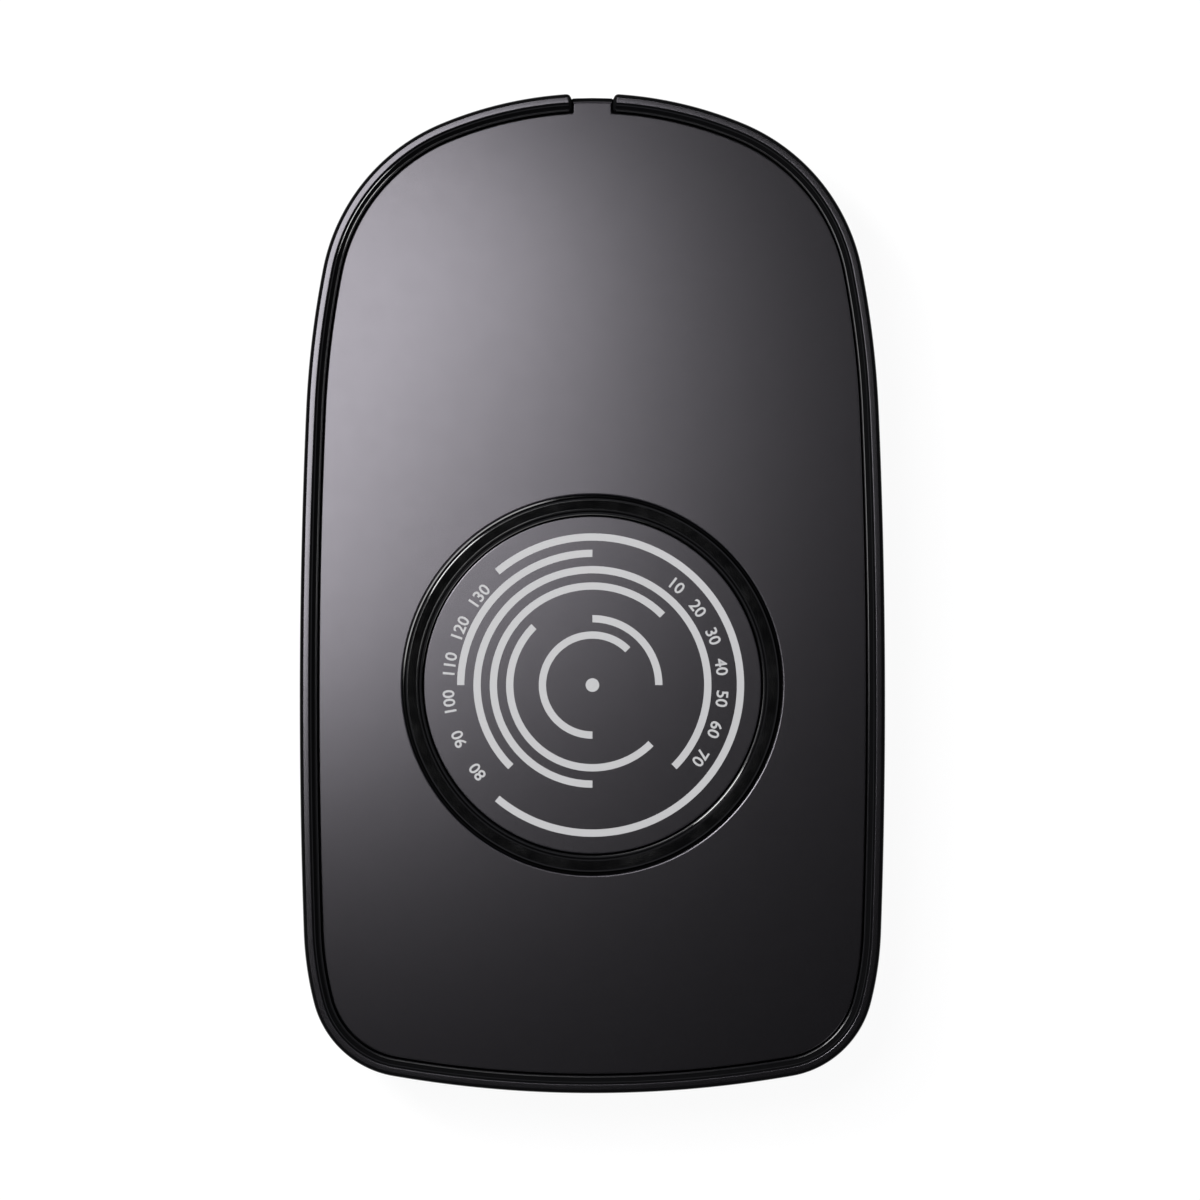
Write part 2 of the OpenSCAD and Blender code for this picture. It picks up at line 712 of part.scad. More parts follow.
module disc_print() color(ink_grey) translate([disc_at.x, disc_at.y, disc_top_z]) {
    cylinder(r = dot_r, h = ink_t);
    for (i = [0:len(print_arcs) - 1]) {
        rotate(print_arcs[i][0])
            rotate_extrude(angle = print_arcs[i][1], $fn = print_facets)
                translate([arc_r + i * arc_step - arc_w / 2, 0]) square([arc_w, ink_t]);
    }
}

bush_r = turntable_pin_r + running_gap + bush_t;
pin_thread_l = 4;
screw_head_room = 0.4;
pin_top_z = disc_z - screw_head_room - small_head_t - washer_t;
bush_top_z = pin_top_z - running_gap;
head_room_r = 3.5;
washer_side_gap = 0.3;

module turntable_gear() color(gear_white) difference() {
    union() {
        gear(disc_at, turntable_teeth, 0, low_level_z);
        post(disc_at, hub_r, low_level_z, disc_z);
        // Key that drives the disc
        translate([disc_at.x + hub_r, disc_at.y, disc_z - disc_socket_h / 2])
            cube([2 * key_reach, key_w, disc_socket_h], center = true);
    }
    post(disc_at, bush_r, low_level_z - cut, disc_z);
    post(disc_at, head_room_r, bush_top_z, disc_z + cut);
}

module turntable_bush() color(brass)
    tube(disc_at, bush_r, turntable_pin_r + running_gap, low_level_z, bush_top_z);

module turntable_pin() color(steel) difference() {
    post(disc_at, turntable_pin_r, turntable_boss_z - pin_depth, pin_top_z);
    post(disc_at, small_screw_r, pin_top_z - pin_thread_l, pin_top_z + cut);
}

module thrust_washer() color(steel)
    tube(disc_at, turntable_boss_r - washer_side_gap, turntable_pin_r + running_gap,
        turntable_boss_z, turntable_boss_z + washer_t);

module retaining_washer() color(steel)
    tube(disc_at, head_room_r - washer_side_gap, small_screw_r + running_gap,
        pin_top_z, pin_top_z + washer_t);

module retaining_screw() color(steel)
    screw(disc_at, small_screw_r, small_head_r, small_head_t, pin_top_z + washer_t,
        pin_thread_l + washer_t, false);

// ---- Reduction gears ----

module compound_gear(at, wheel_teeth, pinion_turn, z_low) color(gear_white) difference() {
    union() {
        gear(at, pinion_teeth, pinion_turn, z_low);
        post(at, pitch_r(pinion_teeth) - dedendum, z_low, z_low + level_step);
        gear(at, wheel_teeth, 0, z_low + level_step);
    }
    post(at, gear_pin_r + running_gap, z_low - cut, z_low + level_step + gear_face + cut);
}

module first_gear()
    compound_gear(first_at, first_wheel_teeth, first_pinion_turn, mid_level_z);

module second_gear()
    compound_gear(second_at, second_wheel_teeth, second_pinion_turn, low_level_z);

module first_gear_pin() color(steel)
    post(first_at, gear_pin_r, mid_level_z - level_gap - pin_depth, deck_z - level_gap);

module second_gear_pin() color(steel)
    post(second_at, gear_pin_r, low_level_z - level_gap - pin_depth,
        mid_level_z + gear_face + level_gap / 2);

// ---- Motor, which stands on the floor with its shaft up ----

cap_top_z = floor_z + end_cap_t;
can_boss_r = 2.5;
can_boss_h = 0.5;
lug_reach = 2.4;
lug_h = 0.9;
shaft_end_gap = 0.1;
magnet_r = can_r - can_t - seat_gap;
magnet_span = 120;
magnet_lap = 0.4;
armature_r = magnet_r - magnet_t - air_gap;
armature_rise = 1.6;
armature_z = cap_top_z + armature_rise;
armature_top_gap = 0.8;
armature_top_z = can_top_z - can_t - armature_top_gap;
core_r = 2.6;
pole_turns = [90, 210, 330];
pole_w = 2.2;
shoe_t = 1.1;
shoe_span = 77;
coil_w = 3.8;
coil_overhang = 0.5;
coil_core_gap = 0.3;
coil_shoe_gap = 0.6;
coil_fit = 0.02;
commutator_r = 2.2;
commutator_gap = 0.15;
brush_l = 8;
brush_h = 0.9;
brush_t = 0.3;

module motor_can() color(steel) translate([motor_at.x, motor_at.y, 0]) difference() {
    union() {
        post([0, 0], can_r, floor_z, can_top_z);
        post([0, 0], can_boss_r, can_top_z - can_t, can_top_z + can_boss_h);
    }
    post([0, 0], can_r - can_t, floor_z - cut, can_top_z - can_t);
    post([0, 0], shaft_r + running_gap, floor_z, can_top_z + can_boss_h + cut);
    // Notch for the end cap's lug
    rotate(lug_dir) translate([0, -lug_w / 2 - seat_gap, floor_z - cut])
        cube([can_r + cut, lug_w + 2 * seat_gap, lug_h + seat_gap + cut]);
}

module motor_end_cap() color(soft_black) translate([motor_at.x, motor_at.y, 0]) difference() {
    union() {
        post([0, 0], can_r - can_t - seat_gap, floor_z, cap_top_z);
        rotate(lug_dir) translate([0, -lug_w / 2, floor_z])
            cube([can_r + lug_reach, lug_w, lug_h]);
    }
    post([0, 0], shaft_r + running_gap, floor_z + hole_floor, cap_top_z + cut);
}

module motor_magnets() color(steel) translate([motor_at.x, motor_at.y, armature_z - magnet_lap])
    for (middle = [0, 180]) {
        rotate(middle - magnet_span / 2) rotate_extrude(angle = magnet_span)
            translate([magnet_r - magnet_t, 0])
                square([magnet_t, armature_top_z - armature_z + 2 * magnet_lap]);
    }

module motor_brushes() color(copper) translate([motor_at.x, motor_at.y, cap_top_z])
    for (side = [-1, 1]) {
        translate([0, side * (commutator_r + seat_gap + brush_t / 2), brush_h / 2])
            cube([brush_l, brush_t, brush_h], center = true);
    }

module motor_shaft() color(steel)
    post(motor_at, shaft_r, floor_z + hole_floor + shaft_end_gap, top_level_z + gear_face);

// Core with three poles, each a shoe on an arm
module motor_armature() color(steel) translate([motor_at.x, motor_at.y, armature_z])
    difference() {
        linear_extrude(armature_top_z - armature_z) {
            circle(r = core_r);
            for (turn = pole_turns) {
                rotate(turn) translate([0, -pole_w / 2])
                    square([armature_r - shoe_t / 2, pole_w]);
                rotate(turn) intersection() {
                    difference() {
                        circle(r = armature_r);
                        circle(r = armature_r - shoe_t);
                    }
                    polygon([[0, 0],
                        2 * armature_r * [cos(shoe_span / 2), sin(shoe_span / 2)],
                        2 * armature_r * [cos(shoe_span / 2), -sin(shoe_span / 2)]]);
                }
            }
        }
        translate([0, 0, -cut]) cylinder(r = shaft_r, h = can_h);
    }

module motor_windings() color(copper) translate([motor_at.x, motor_at.y, 0])
    for (turn = pole_turns) {
        rotate(turn) difference() {
            translate([core_r + coil_core_gap, -coil_w / 2, armature_z - coil_overhang])
                cube([armature_r - shoe_t - coil_shoe_gap - core_r - coil_core_gap, coil_w,
                    armature_top_z - armature_z + 2 * coil_overhang]);
            translate([0, -pole_w / 2 - coil_fit, armature_z - coil_fit])
                cube([armature_r, pole_w + 2 * coil_fit,
                    armature_top_z - armature_z + 2 * coil_fit]);
        }
    }

module motor_commutator() color(copper)
    tube(motor_at, commutator_r, shaft_r, cap_top_z + commutator_gap, armature_z);

module motor_pinion() color(brass) difference() {
    gear(motor_at, pinion_teeth, motor_pinion_turn, top_level_z);
    post(motor_at, shaft_r, top_level_z - cut, top_level_z + gear_face + cut);
}

// Steel sheet over the can, with an ear to each screw post
bracket_in = 0.2;
bracket_screw_l = 4;
module motor_bracket() color(steel) difference() {
    translate([0, 0, can_top_z]) linear_extrude(bracket_t) {
        translate(motor_at) circle(r = can_r - bracket_in);
        for (at = bracket_places) {
            translate(at) circle(r = bracket_post_r);
        }
        translate(motor_at) rotate(motor_dir)
            square([2 * bracket_post_r, 2 * bracket_reach], center = true);
    }
    post(motor_at, pitch_r(pinion_teeth) + addendum + bracket_in,
        can_top_z - cut, bracket_top_z + cut);
    for (at = bracket_places) {
        post(at, small_screw_r + shank_gap, can_top_z - cut, bracket_top_z + cut);
    }
}

module bracket_screws() color(steel)
    for (at = bracket_places) {
        screw(at, small_screw_r, small_head_r, small_head_t, bracket_top_z,
            bracket_screw_l, false);
    }

// ---- Board and power inlet ----

header_w = 5;
header_l = 4;
header_h = 2.8;
header_x = 10;
header_edge_gap = 0.4;
header_y = board_y + header_edge_gap;
chip_size = [7, 5, 1.2];
capacitor_r = 2;
capacitor_h = 4;
coil_size = [4, 4, 2];
filter_size = [2, 1.2, 0.6];
resistor_size = [1.6, 0.8, 0.5];
parts_in_row = 4;
parts_pitch = 2;
tongue_w = 6.7;
tongue_t = 0.7;
tongue_back = 0.6;
tongue_block_l = 1.6;

// Places on the board, from the middle of its back edge
chip_at = [0, 10];
capacitor_at = [12, 13];
coil_at = [-12, 13];
filters_at = [-7.5, 7.6];
resistors_at = [6.8, 7.4];

// The board's front corners follow the housing's wall
module circuit_board() color(board_green) difference() {
    translate([0, 0, board_z]) linear_extrude(board_t) intersection() {
        translate([-board_w / 2, board_y]) square([board_w, board_l]);
        polygon(outline(wall_in + board_side_gap));
    }
    for (at = board_screw_places) {
        post(at, small_screw_r + shank_gap, board_z - cut, board_top_z + cut);
    }
}

module board_screws() color(steel)
    for (at = board_screw_places) {
        screw(at, small_screw_r, small_head_r, small_head_t, board_top_z,
            board_t + board_rise, false);
    }

module usb_shell() color(steel)
    translate([0, usb_front_y - usb_l / 2, usb_z]) difference() {
        slotted_bar(usb_w, usb_h, usb_l);
        translate([0, usb_t, 0]) slotted_bar(usb_w - 2 * usb_t, usb_h - 2 * usb_t, usb_l);
    }

module usb_tongue() color(soft_black) {
    back_y = usb_front_y - usb_l + usb_t;
    translate([0, back_y + tongue_block_l / 2, usb_z])
        slotted_bar(usb_w - 2 * usb_t, usb_h - 2 * usb_t, tongue_block_l);
    translate([-tongue_w / 2, back_y + tongue_block_l / 2, usb_z - tongue_t / 2])
        cube([tongue_w, usb_l - usb_t - tongue_block_l / 2 - tongue_back, tongue_t]);
}

// Block that stands on the board, by its middle
module board_block(at, size) {
    translate([at.x - size.x / 2, board_y + at.y - size.y / 2, board_top_z]) cube(size);
}

module controller_chip() color(soft_black) board_block(chip_at, chip_size);

// Storage capacitor, coil and two rows of small chip parts
module board_parts() color(steel) {
    post([capacitor_at.x, board_y + capacitor_at.y], capacitor_r,
        board_top_z, board_top_z + capacitor_h);
    board_block(coil_at, coil_size);
    for (i = [0:parts_in_row - 1]) {
        board_block(filters_at + [0, i * parts_pitch], filter_size);
        board_block(resistors_at + [0, i * parts_pitch], resistor_size);
    }
}

module lead_headers() color(gear_white)
    for (side = [-1, 1]) {
        translate([side * header_x - header_w / 2, header_y, board_top_z])
            cube([header_w, header_l, header_h]);
    }

lead_pitch = 1.6;
motor_lead_out = 6;
motor_lead_in = 8;
switch_lead_out = 12;
switch_lead_in = 14;
terminal_drop = 0.6;

// From the end cap's lug to the right header
module motor_leads() color(lead_red) {
    out = [cos(lug_dir), sin(lug_dir), 0];
    across = [out.y, -out.x, 0];
    start = [motor_at.x, motor_at.y, floor_z + lug_h + lead_r] + (can_r + collar_t) * out;
    end = [header_x, header_y, board_top_z + header_h / 2];
    for (side = [-0.5, 0.5]) {
        shift = side * lead_pitch;
        lead(start + shift * across, start + shift * across + motor_lead_out * out,
            end + [shift, -motor_lead_in, 0], end + [shift, 0, 0]);
    }
}

// From the switch's back, over the floor, to the left header
module switch_leads() color(soft_black) {
    start_x = -switch_face_x + switch_d;
    end_z = board_top_z + header_h / 2;
    for (side = [-0.5, 0.5]) {
        start = [start_x, switch_y - side * lead_pitch, switch_z - terminal_drop];
        end = [-header_x + side * lead_pitch, header_y, end_z];
        lead(start, start + [switch_lead_out, 0, 0], end - [0, switch_lead_in, 0], end);
    }
}

// ---- Power switch ----

stem_depth = 1.8;
knob_lift = 0.1;

module switch_body() color(steel)
    difference() {
        translate([-switch_face_x, switch_y - switch_l / 2, switch_z - switch_h / 2])
            cube([switch_d, switch_l, switch_h]);
        translate([-switch_face_x, switch_y, switch_z])
            cube([2 * stem_depth + 2 * slot_gap, stem_l + switch_travel + 2 * slot_gap,
                stem_h + 2 * slot_gap], center = true);
    }

// Knob at the end of its travel that is nearer the disc, on a stem into the switch
module switch_knob() color(soft_black) translate([0, switch_y - switch_travel / 2, switch_z]) {
    outer_x = switch_wall_x + knob_proud;
    inner_x = recess_floor_x + knob_lift;
    translate([-outer_x, -knob_l / 2, -knob_h / 2]) cube([outer_x - inner_x, knob_l, knob_h]);
    translate([-inner_x, -stem_l / 2, -stem_h / 2])
        cube([inner_x - switch_face_x + stem_depth, stem_l, stem_h]);
}

// ---- Feet and housing screws ----

module rubber_feet() color(soft_black)
    for (at = screw_places) post(at, foot_r, 0, shell_z + foot_recess);

module housing_screws() color(steel)
    for (at = screw_places) {
        screw(at, screw_r, screw_head_r, screw_head_t, screw_seat_z,
            screw_hole_z - screw_end_gap - screw_seat_z, true);
    }

base_shell();
top_housing();
top_plate();
guard_rim();
bezel_ring();
turntable_disc();
disc_print();
turntable_gear();
turntable_bush();
turntable_pin();
thrust_washer();
retaining_washer();
retaining_screw();
first_gear();
first_gear_pin();
second_gear();
second_gear_pin();
motor_can();
motor_end_cap();
motor_magnets();
motor_brushes();
motor_shaft();
motor_armature();
motor_windings();
motor_commutator();
motor_pinion();
motor_bracket();
bracket_screws();
circuit_board();
board_screws();
usb_shell();
usb_tongue();
controller_chip();
board_parts();
lead_headers();
motor_leads();
switch_leads();
switch_body();
switch_knob();
rubber_feet();
housing_screws();
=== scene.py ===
import math

import bpy
import numpy as np
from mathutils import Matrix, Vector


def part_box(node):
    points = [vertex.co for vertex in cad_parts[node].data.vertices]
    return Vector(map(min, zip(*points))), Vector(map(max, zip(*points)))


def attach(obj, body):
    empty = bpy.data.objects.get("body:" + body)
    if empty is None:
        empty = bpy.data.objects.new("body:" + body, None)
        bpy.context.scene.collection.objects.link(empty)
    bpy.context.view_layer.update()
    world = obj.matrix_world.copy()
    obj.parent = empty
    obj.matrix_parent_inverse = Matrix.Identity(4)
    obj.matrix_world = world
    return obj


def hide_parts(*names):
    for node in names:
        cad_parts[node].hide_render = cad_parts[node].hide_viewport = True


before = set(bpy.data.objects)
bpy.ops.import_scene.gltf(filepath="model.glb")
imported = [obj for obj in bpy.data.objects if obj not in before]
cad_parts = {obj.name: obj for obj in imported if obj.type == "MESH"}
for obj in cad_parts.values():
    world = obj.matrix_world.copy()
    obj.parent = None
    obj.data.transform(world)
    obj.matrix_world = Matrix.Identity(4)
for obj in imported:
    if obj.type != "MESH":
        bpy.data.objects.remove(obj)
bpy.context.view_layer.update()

MM = 0.001

# ---------------------------------------------------------------- Rubber feet
# Four soft black rubber discs of 10 mm that keep the tray from sliding.
# They are punched from sheet and glued into shallow recesses over the screws.
IOR = 1.5
FINE_DETAIL, BROAD_DETAIL = 3.0, 2.0
NOISE_LOW, NOISE_HIGH = 0.3, 0.7


def finish(name, colour, roughness, metallic=0.0, mottle=0.08, uneven=0.05, grain=0.4,
           relief=0.001, patches=9.0, stretch=(1, 1, 1)):
    """A finish whose colour wanders by `mottle` over patches of so many mm, and whose
    roughness wanders by `uneven` over a grain of so many mm that stands `relief` mm high.
    Most of a noise lies between NOISE_LOW and NOISE_HIGH, which give the two roughnesses.
    Stretch presses the grain together along an axis, as on a drawn or brushed surface."""
    material = bpy.data.materials.new(name)
    material.use_nodes = True
    nodes, links = material.node_tree.nodes, material.node_tree.links
    shader = nodes["Principled BSDF"]
    shader.inputs["Metallic"].default_value = metallic
    shader.inputs["IOR"].default_value = IOR
    place = nodes.new("ShaderNodeTexCoord")
    pressed = nodes.new("ShaderNodeMapping")
    pressed.inputs["Scale"].default_value = stretch
    links.new(place.outputs["Object"], pressed.inputs["Vector"])
    fine, broad = nodes.new("ShaderNodeTexNoise"), nodes.new("ShaderNodeTexNoise")
    for noise, size, detail in ((fine, grain, FINE_DETAIL), (broad, patches, BROAD_DETAIL)):
        noise.inputs["Scale"].default_value = 1 / (size * MM)
        noise.inputs["Detail"].default_value = detail
        links.new(pressed.outputs["Vector"], noise.inputs["Vector"])
    tone = nodes.new("ShaderNodeMix")
    tone.data_type = "RGBA"
    tone.inputs["A"].default_value = (*(c * (1 - mottle) for c in colour), 1)
    tone.inputs["B"].default_value = (*(c * (1 + mottle) for c in colour), 1)
    links.new(broad.outputs["Fac"], tone.inputs["Factor"])
    links.new(tone.outputs["Result"], shader.inputs["Base Color"])
    polish = nodes.new("ShaderNodeMapRange")
    polish.inputs["From Min"].default_value = NOISE_LOW
    polish.inputs["From Max"].default_value = NOISE_HIGH
    polish.inputs["To Min"].default_value = max(roughness - uneven, 0.0)
    polish.inputs["To Max"].default_value = roughness + uneven
    links.new(fine.outputs["Fac"], polish.inputs["Value"])
    links.new(polish.outputs["Result"], shader.inputs["Roughness"])
    bump = nodes.new("ShaderNodeBump")
    bump.inputs["Distance"].default_value = relief * MM
    links.new(fine.outputs["Fac"], bump.inputs["Height"])
    links.new(bump.outputs["Normal"], shader.inputs["Normal"])
    return material


def coat(material, *names):
    """Gives the named solids of the frame this material."""
    for name in names:
        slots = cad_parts[name].data.materials
        slots.clear()
        slots.append(material)


def sharpen(mesh, degrees):
    """Smooth shading, with an edge kept crisp where its faces meet at more than so many degrees."""
    mesh.shade_smooth()
    mesh.set_sharp_from_angle(angle=math.radians(degrees))


def joined(name, node, body, material, slot, digits=7, degrees=32):
    """A copy of a solid, shaded smooth round its curves. Its loose triangles are joined
    where their corners, in metres, agree to so many digits after the point."""
    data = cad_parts[node].data
    points = np.empty(3 * len(data.vertices))
    corners = np.empty(len(data.loops), np.int32)
    data.vertices.foreach_get("co", points)
    data.loops.foreach_get("vertex_index", corners)
    places, back = np.unique(np.round(points.reshape(-1, 3), digits), axis=0,
                             return_inverse=True)
    faces = back.ravel()[corners].reshape(-1, 3)
    whole = ((faces[:, 0] != faces[:, 1]) & (faces[:, 1] != faces[:, 2])
             & (faces[:, 2] != faces[:, 0]))
    mesh = bpy.data.meshes.new(name)
    mesh.from_pydata(places.tolist(), [], faces[whole].tolist())
    sharpen(mesh, degrees)
    return place_piece(name, mesh, body, material, slot, node)


def place_piece(name, mesh, body, material, slot, *nodes):
    """Puts a mesh in the scene as a piece of that body, standing for the named solids."""
    mesh.materials.append(material)
    piece = bpy.data.objects.new(name, mesh)
    bpy.context.scene.collection.objects.link(piece)
    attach(piece, body)
    if nodes:
        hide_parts(*nodes)
    return piece


rubber = finish("soft_rubber", (0.022, 0.022, 0.023), 0.62, uneven=0.08, grain=0.25, relief=0.012)
coat(rubber, "rubber_feet")

# ------------------------------------------------------------------ Base shell
# Injection-moulded black ABS tray: floor, walls with a lip, pillars for the four
# housing screws, motor collar and board posts. Its outside has a fine spark texture.
shell_black = finish("textured_black_plastic", (0.0085, 0.0085, 0.0092), 0.42, uneven=0.06,
                     grain=0.22, relief=0.008, patches=14)
joined("base_tray", "base_shell", "housing", shell_black, "shell_black")

# -------------------------------------------------------------- Housing screws
# Four zinc-plated pan-head screws that pull the tray to the upper housing from
# below. The rubber feet cover their heads.
plated_steel = finish("zinc_plated_steel", (0.55, 0.56, 0.58), 0.3, 1.0, uneven=0.07,
                      grain=0.3, relief=0.002, patches=3)
coat(plated_steel, "housing_screws")

# ----------------------------------------------------------------------- Motor
# Flat brushed motor: a drawn steel can with ferrite magnets and a moulded end
# cap, held by a bent steel bracket and two screws. Its rotor has stamped laminations,
# enamelled copper coils, a commutator and a brass pinion pressed on the shaft.
drawn_steel = finish("drawn_steel", (0.5, 0.5, 0.51), 0.27, 1.0, uneven=0.08, grain=0.5,
                     relief=0.003, patches=5, stretch=(1, 1, 0.12))
stamped_steel = finish("stamped_steel", (0.42, 0.42, 0.43), 0.4, 1.0, uneven=0.1, grain=0.35,
                       relief=0.006, patches=4)
laminations = finish("stacked_laminations", (0.3, 0.3, 0.31), 0.38, 1.0, uneven=0.1, grain=0.3,
                     relief=0.02, patches=4, stretch=(0.05, 0.05, 1))
ferrite = finish("sintered_ferrite", (0.055, 0.055, 0.058), 0.72, uneven=0.1, grain=0.2,
                 relief=0.01, patches=3)
enamelled_copper = finish("enamelled_copper", (0.42, 0.13, 0.04), 0.28, 0.85, mottle=0.2,
                          uneven=0.08, grain=0.12, relief=0.03, patches=1.5,
                          stretch=(0.3, 0.3, 1))
bare_copper = finish("bare_copper", (0.75, 0.36, 0.2), 0.3, 1.0, mottle=0.12, uneven=0.1,
                     grain=0.3, relief=0.004, patches=2)
turned_brass = finish("turned_brass", (0.72, 0.5, 0.2), 0.24, 1.0, uneven=0.07, grain=0.3,
                      relief=0.004, patches=3, stretch=(0.2, 0.2, 1))
moulded_black = finish("moulded_black_plastic", (0.02, 0.02, 0.021), 0.48, uneven=0.06,
                       grain=0.3, relief=0.006, patches=6)
coat(drawn_steel, "motor_can", "motor_shaft")
coat(stamped_steel, "motor_bracket")
coat(plated_steel, "bracket_screws")
coat(laminations, "motor_armature")
coat(ferrite, "motor_magnets")
coat(enamelled_copper, "motor_windings")
coat(bare_copper, "motor_brushes", "motor_commutator")
coat(turned_brass, "motor_pinion")
coat(moulded_black, "motor_end_cap")

# -------------------------------------------------------------- Gears and pins
# Two compound gears and the turntable's gear, moulded in natural acetal, on ground
# steel pins pressed into the tray. The turntable runs on a turned brass bush.
acetal = finish("natural_acetal", (0.72, 0.71, 0.67), 0.36, mottle=0.03, uneven=0.05,
                grain=0.5, relief=0.003, patches=6)
ground_steel = finish("ground_steel", (0.6, 0.6, 0.61), 0.18, 1.0, uneven=0.06, grain=0.25,
                      relief=0.002, patches=3, stretch=(0.2, 0.2, 1))
coat(acetal, "first_gear", "second_gear", "turntable_gear")
coat(ground_steel, "first_gear_pin", "second_gear_pin", "turntable_pin")
coat(turned_brass, "turntable_bush")
coat(plated_steel, "thrust_washer", "retaining_washer", "retaining_screw")

# --------------------------------------------------------------- Circuit board
# Glass-laminate board under green solder mask, screwed to posts of the tray. It
# carries the power inlet, a controller, a few small parts and two lead headers.


def solder_mask():
    """Green mask over copper: straight tracks in a slightly lighter green, laid out by a
    brick pattern whose joints are the clearances, with a lacquer's faint orange peel."""
    material = finish("solder_mask", (0.012, 0.1, 0.045), 0.24, mottle=0.1, uneven=0.04,
                      grain=0.6, relief=0.004, patches=7)
    nodes, links = material.node_tree.nodes, material.node_tree.links
    shader, place = nodes["Principled BSDF"], nodes["Texture Coordinate"]
    tracks = nodes.new("ShaderNodeTexBrick")
    tracks.inputs["Scale"].default_value = 260
    tracks.inputs["Mortar Size"].default_value = 0.045
    tracks.inputs["Brick Width"].default_value = 1.7
    tracks.inputs["Row Height"].default_value = 0.21
    links.new(place.outputs["Object"], tracks.inputs["Vector"])
    mix = nodes.new("ShaderNodeMix")
    mix.data_type = "RGBA"
    mix.blend_type = "MULTIPLY"
    mix.inputs["Factor"].default_value = 1.0
    tracks.inputs["Color1"].default_value = (1.35, 1.35, 1.35, 1)
    tracks.inputs["Color2"].default_value = (1.15, 1.15, 1.15, 1)
    tracks.inputs["Mortar"].default_value = (0.8, 0.8, 0.8, 1)
    links.new(shader.inputs["Base Color"].links[0].from_socket, mix.inputs["A"])
    links.new(tracks.outputs["Color"], mix.inputs["B"])
    links.new(mix.outputs["Result"], shader.inputs["Base Color"])
    return material


red_sleeve = finish("red_pvc", (0.5, 0.02, 0.015), 0.35, mottle=0.06, grain=0.4, relief=0.004)
black_sleeve = finish("black_pvc", (0.018, 0.018, 0.019), 0.38, grain=0.4, relief=0.004)
tinned = finish("tinned_ends", (0.6, 0.59, 0.56), 0.34, 1.0, uneven=0.1, grain=0.2, relief=0.006)
chip_black = finish("moulded_epoxy", (0.012, 0.012, 0.012), 0.55, grain=0.12, relief=0.008)
header_white = finish("header_nylon", (0.66, 0.63, 0.54), 0.42, mottle=0.04, grain=0.4,
                      relief=0.004)
coat(solder_mask(), "circuit_board")
coat(plated_steel, "board_screws")
coat(tinned, "board_parts")
coat(chip_black, "controller_chip")
coat(header_white, "lead_headers")
coat(red_sleeve, "motor_leads")
coat(black_sleeve, "switch_leads")
joined("inlet_shell", "usb_shell", "housing", drawn_steel, "steel")
joined("inlet_tongue", "usb_tongue", "housing", moulded_black, "black_plastic")

# ---------------------------------------------------------------- Power switch
# Small slide switch in a folded steel case behind the left wall. The moulded black
# knob comes out through a slot, has three ribs for the finger, and slides 2 mm.
coat(stamped_steel, "switch_body")


def skin(rings, closed, name):
    """A mesh over rings of points, shape (rings, points, 3) in mm, each ring closed.
    Closed joins the last ring to the first; otherwise each end gets a flat face."""
    count, size = rings.shape[:2]
    k, j = np.meshgrid(np.arange(count if closed else count - 1), np.arange(size),
                       indexing="ij")
    k2, j2 = (k + 1) % count, (j + 1) % size
    quads = np.stack([k * size + j, k2 * size + j, k2 * size + j2, k * size + j2], -1)
    faces = quads.reshape(-1, 4).tolist()
    if not closed:
        faces += [list(range(size)), list(range(count * size - 1, (count - 1) * size - 1, -1))]
    mesh = bpy.data.meshes.new(name)
    mesh.from_pydata((rings.reshape(-1, 3) * MM).tolist(), [], faces)
    mesh.update()
    return mesh


def outward(mesh):
    """Turns the mesh right side out: its volume, a sum of signed corners, is positive."""
    points = np.empty(3 * len(mesh.vertices))
    mesh.vertices.foreach_get("co", points)
    points = points.reshape(-1, 3)
    mesh.calc_loop_triangles()
    tri = np.empty(3 * len(mesh.loop_triangles), np.int32)
    mesh.loop_triangles.foreach_get("vertices", tri)
    a, b, c = points[tri.reshape(-1, 3)].transpose(1, 0, 2)
    if np.einsum("ij,ij->i", a, np.cross(b, c)).sum() < 0:
        mesh.flip_normals()
    return mesh


def merged(name, meshes):
    """One mesh of several, with their points and faces put end to end."""
    points, faces, base = [], [], 0
    for mesh in meshes:
        co = np.empty(3 * len(mesh.vertices))
        mesh.vertices.foreach_get("co", co)
        points.append(co.reshape(-1, 3))
        faces += [[base + v for v in face.vertices] for face in mesh.polygons]
        base += len(mesh.vertices)
    whole = bpy.data.meshes.new(name)
    whole.from_pydata(np.concatenate(points).tolist(), [], faces)
    return whole


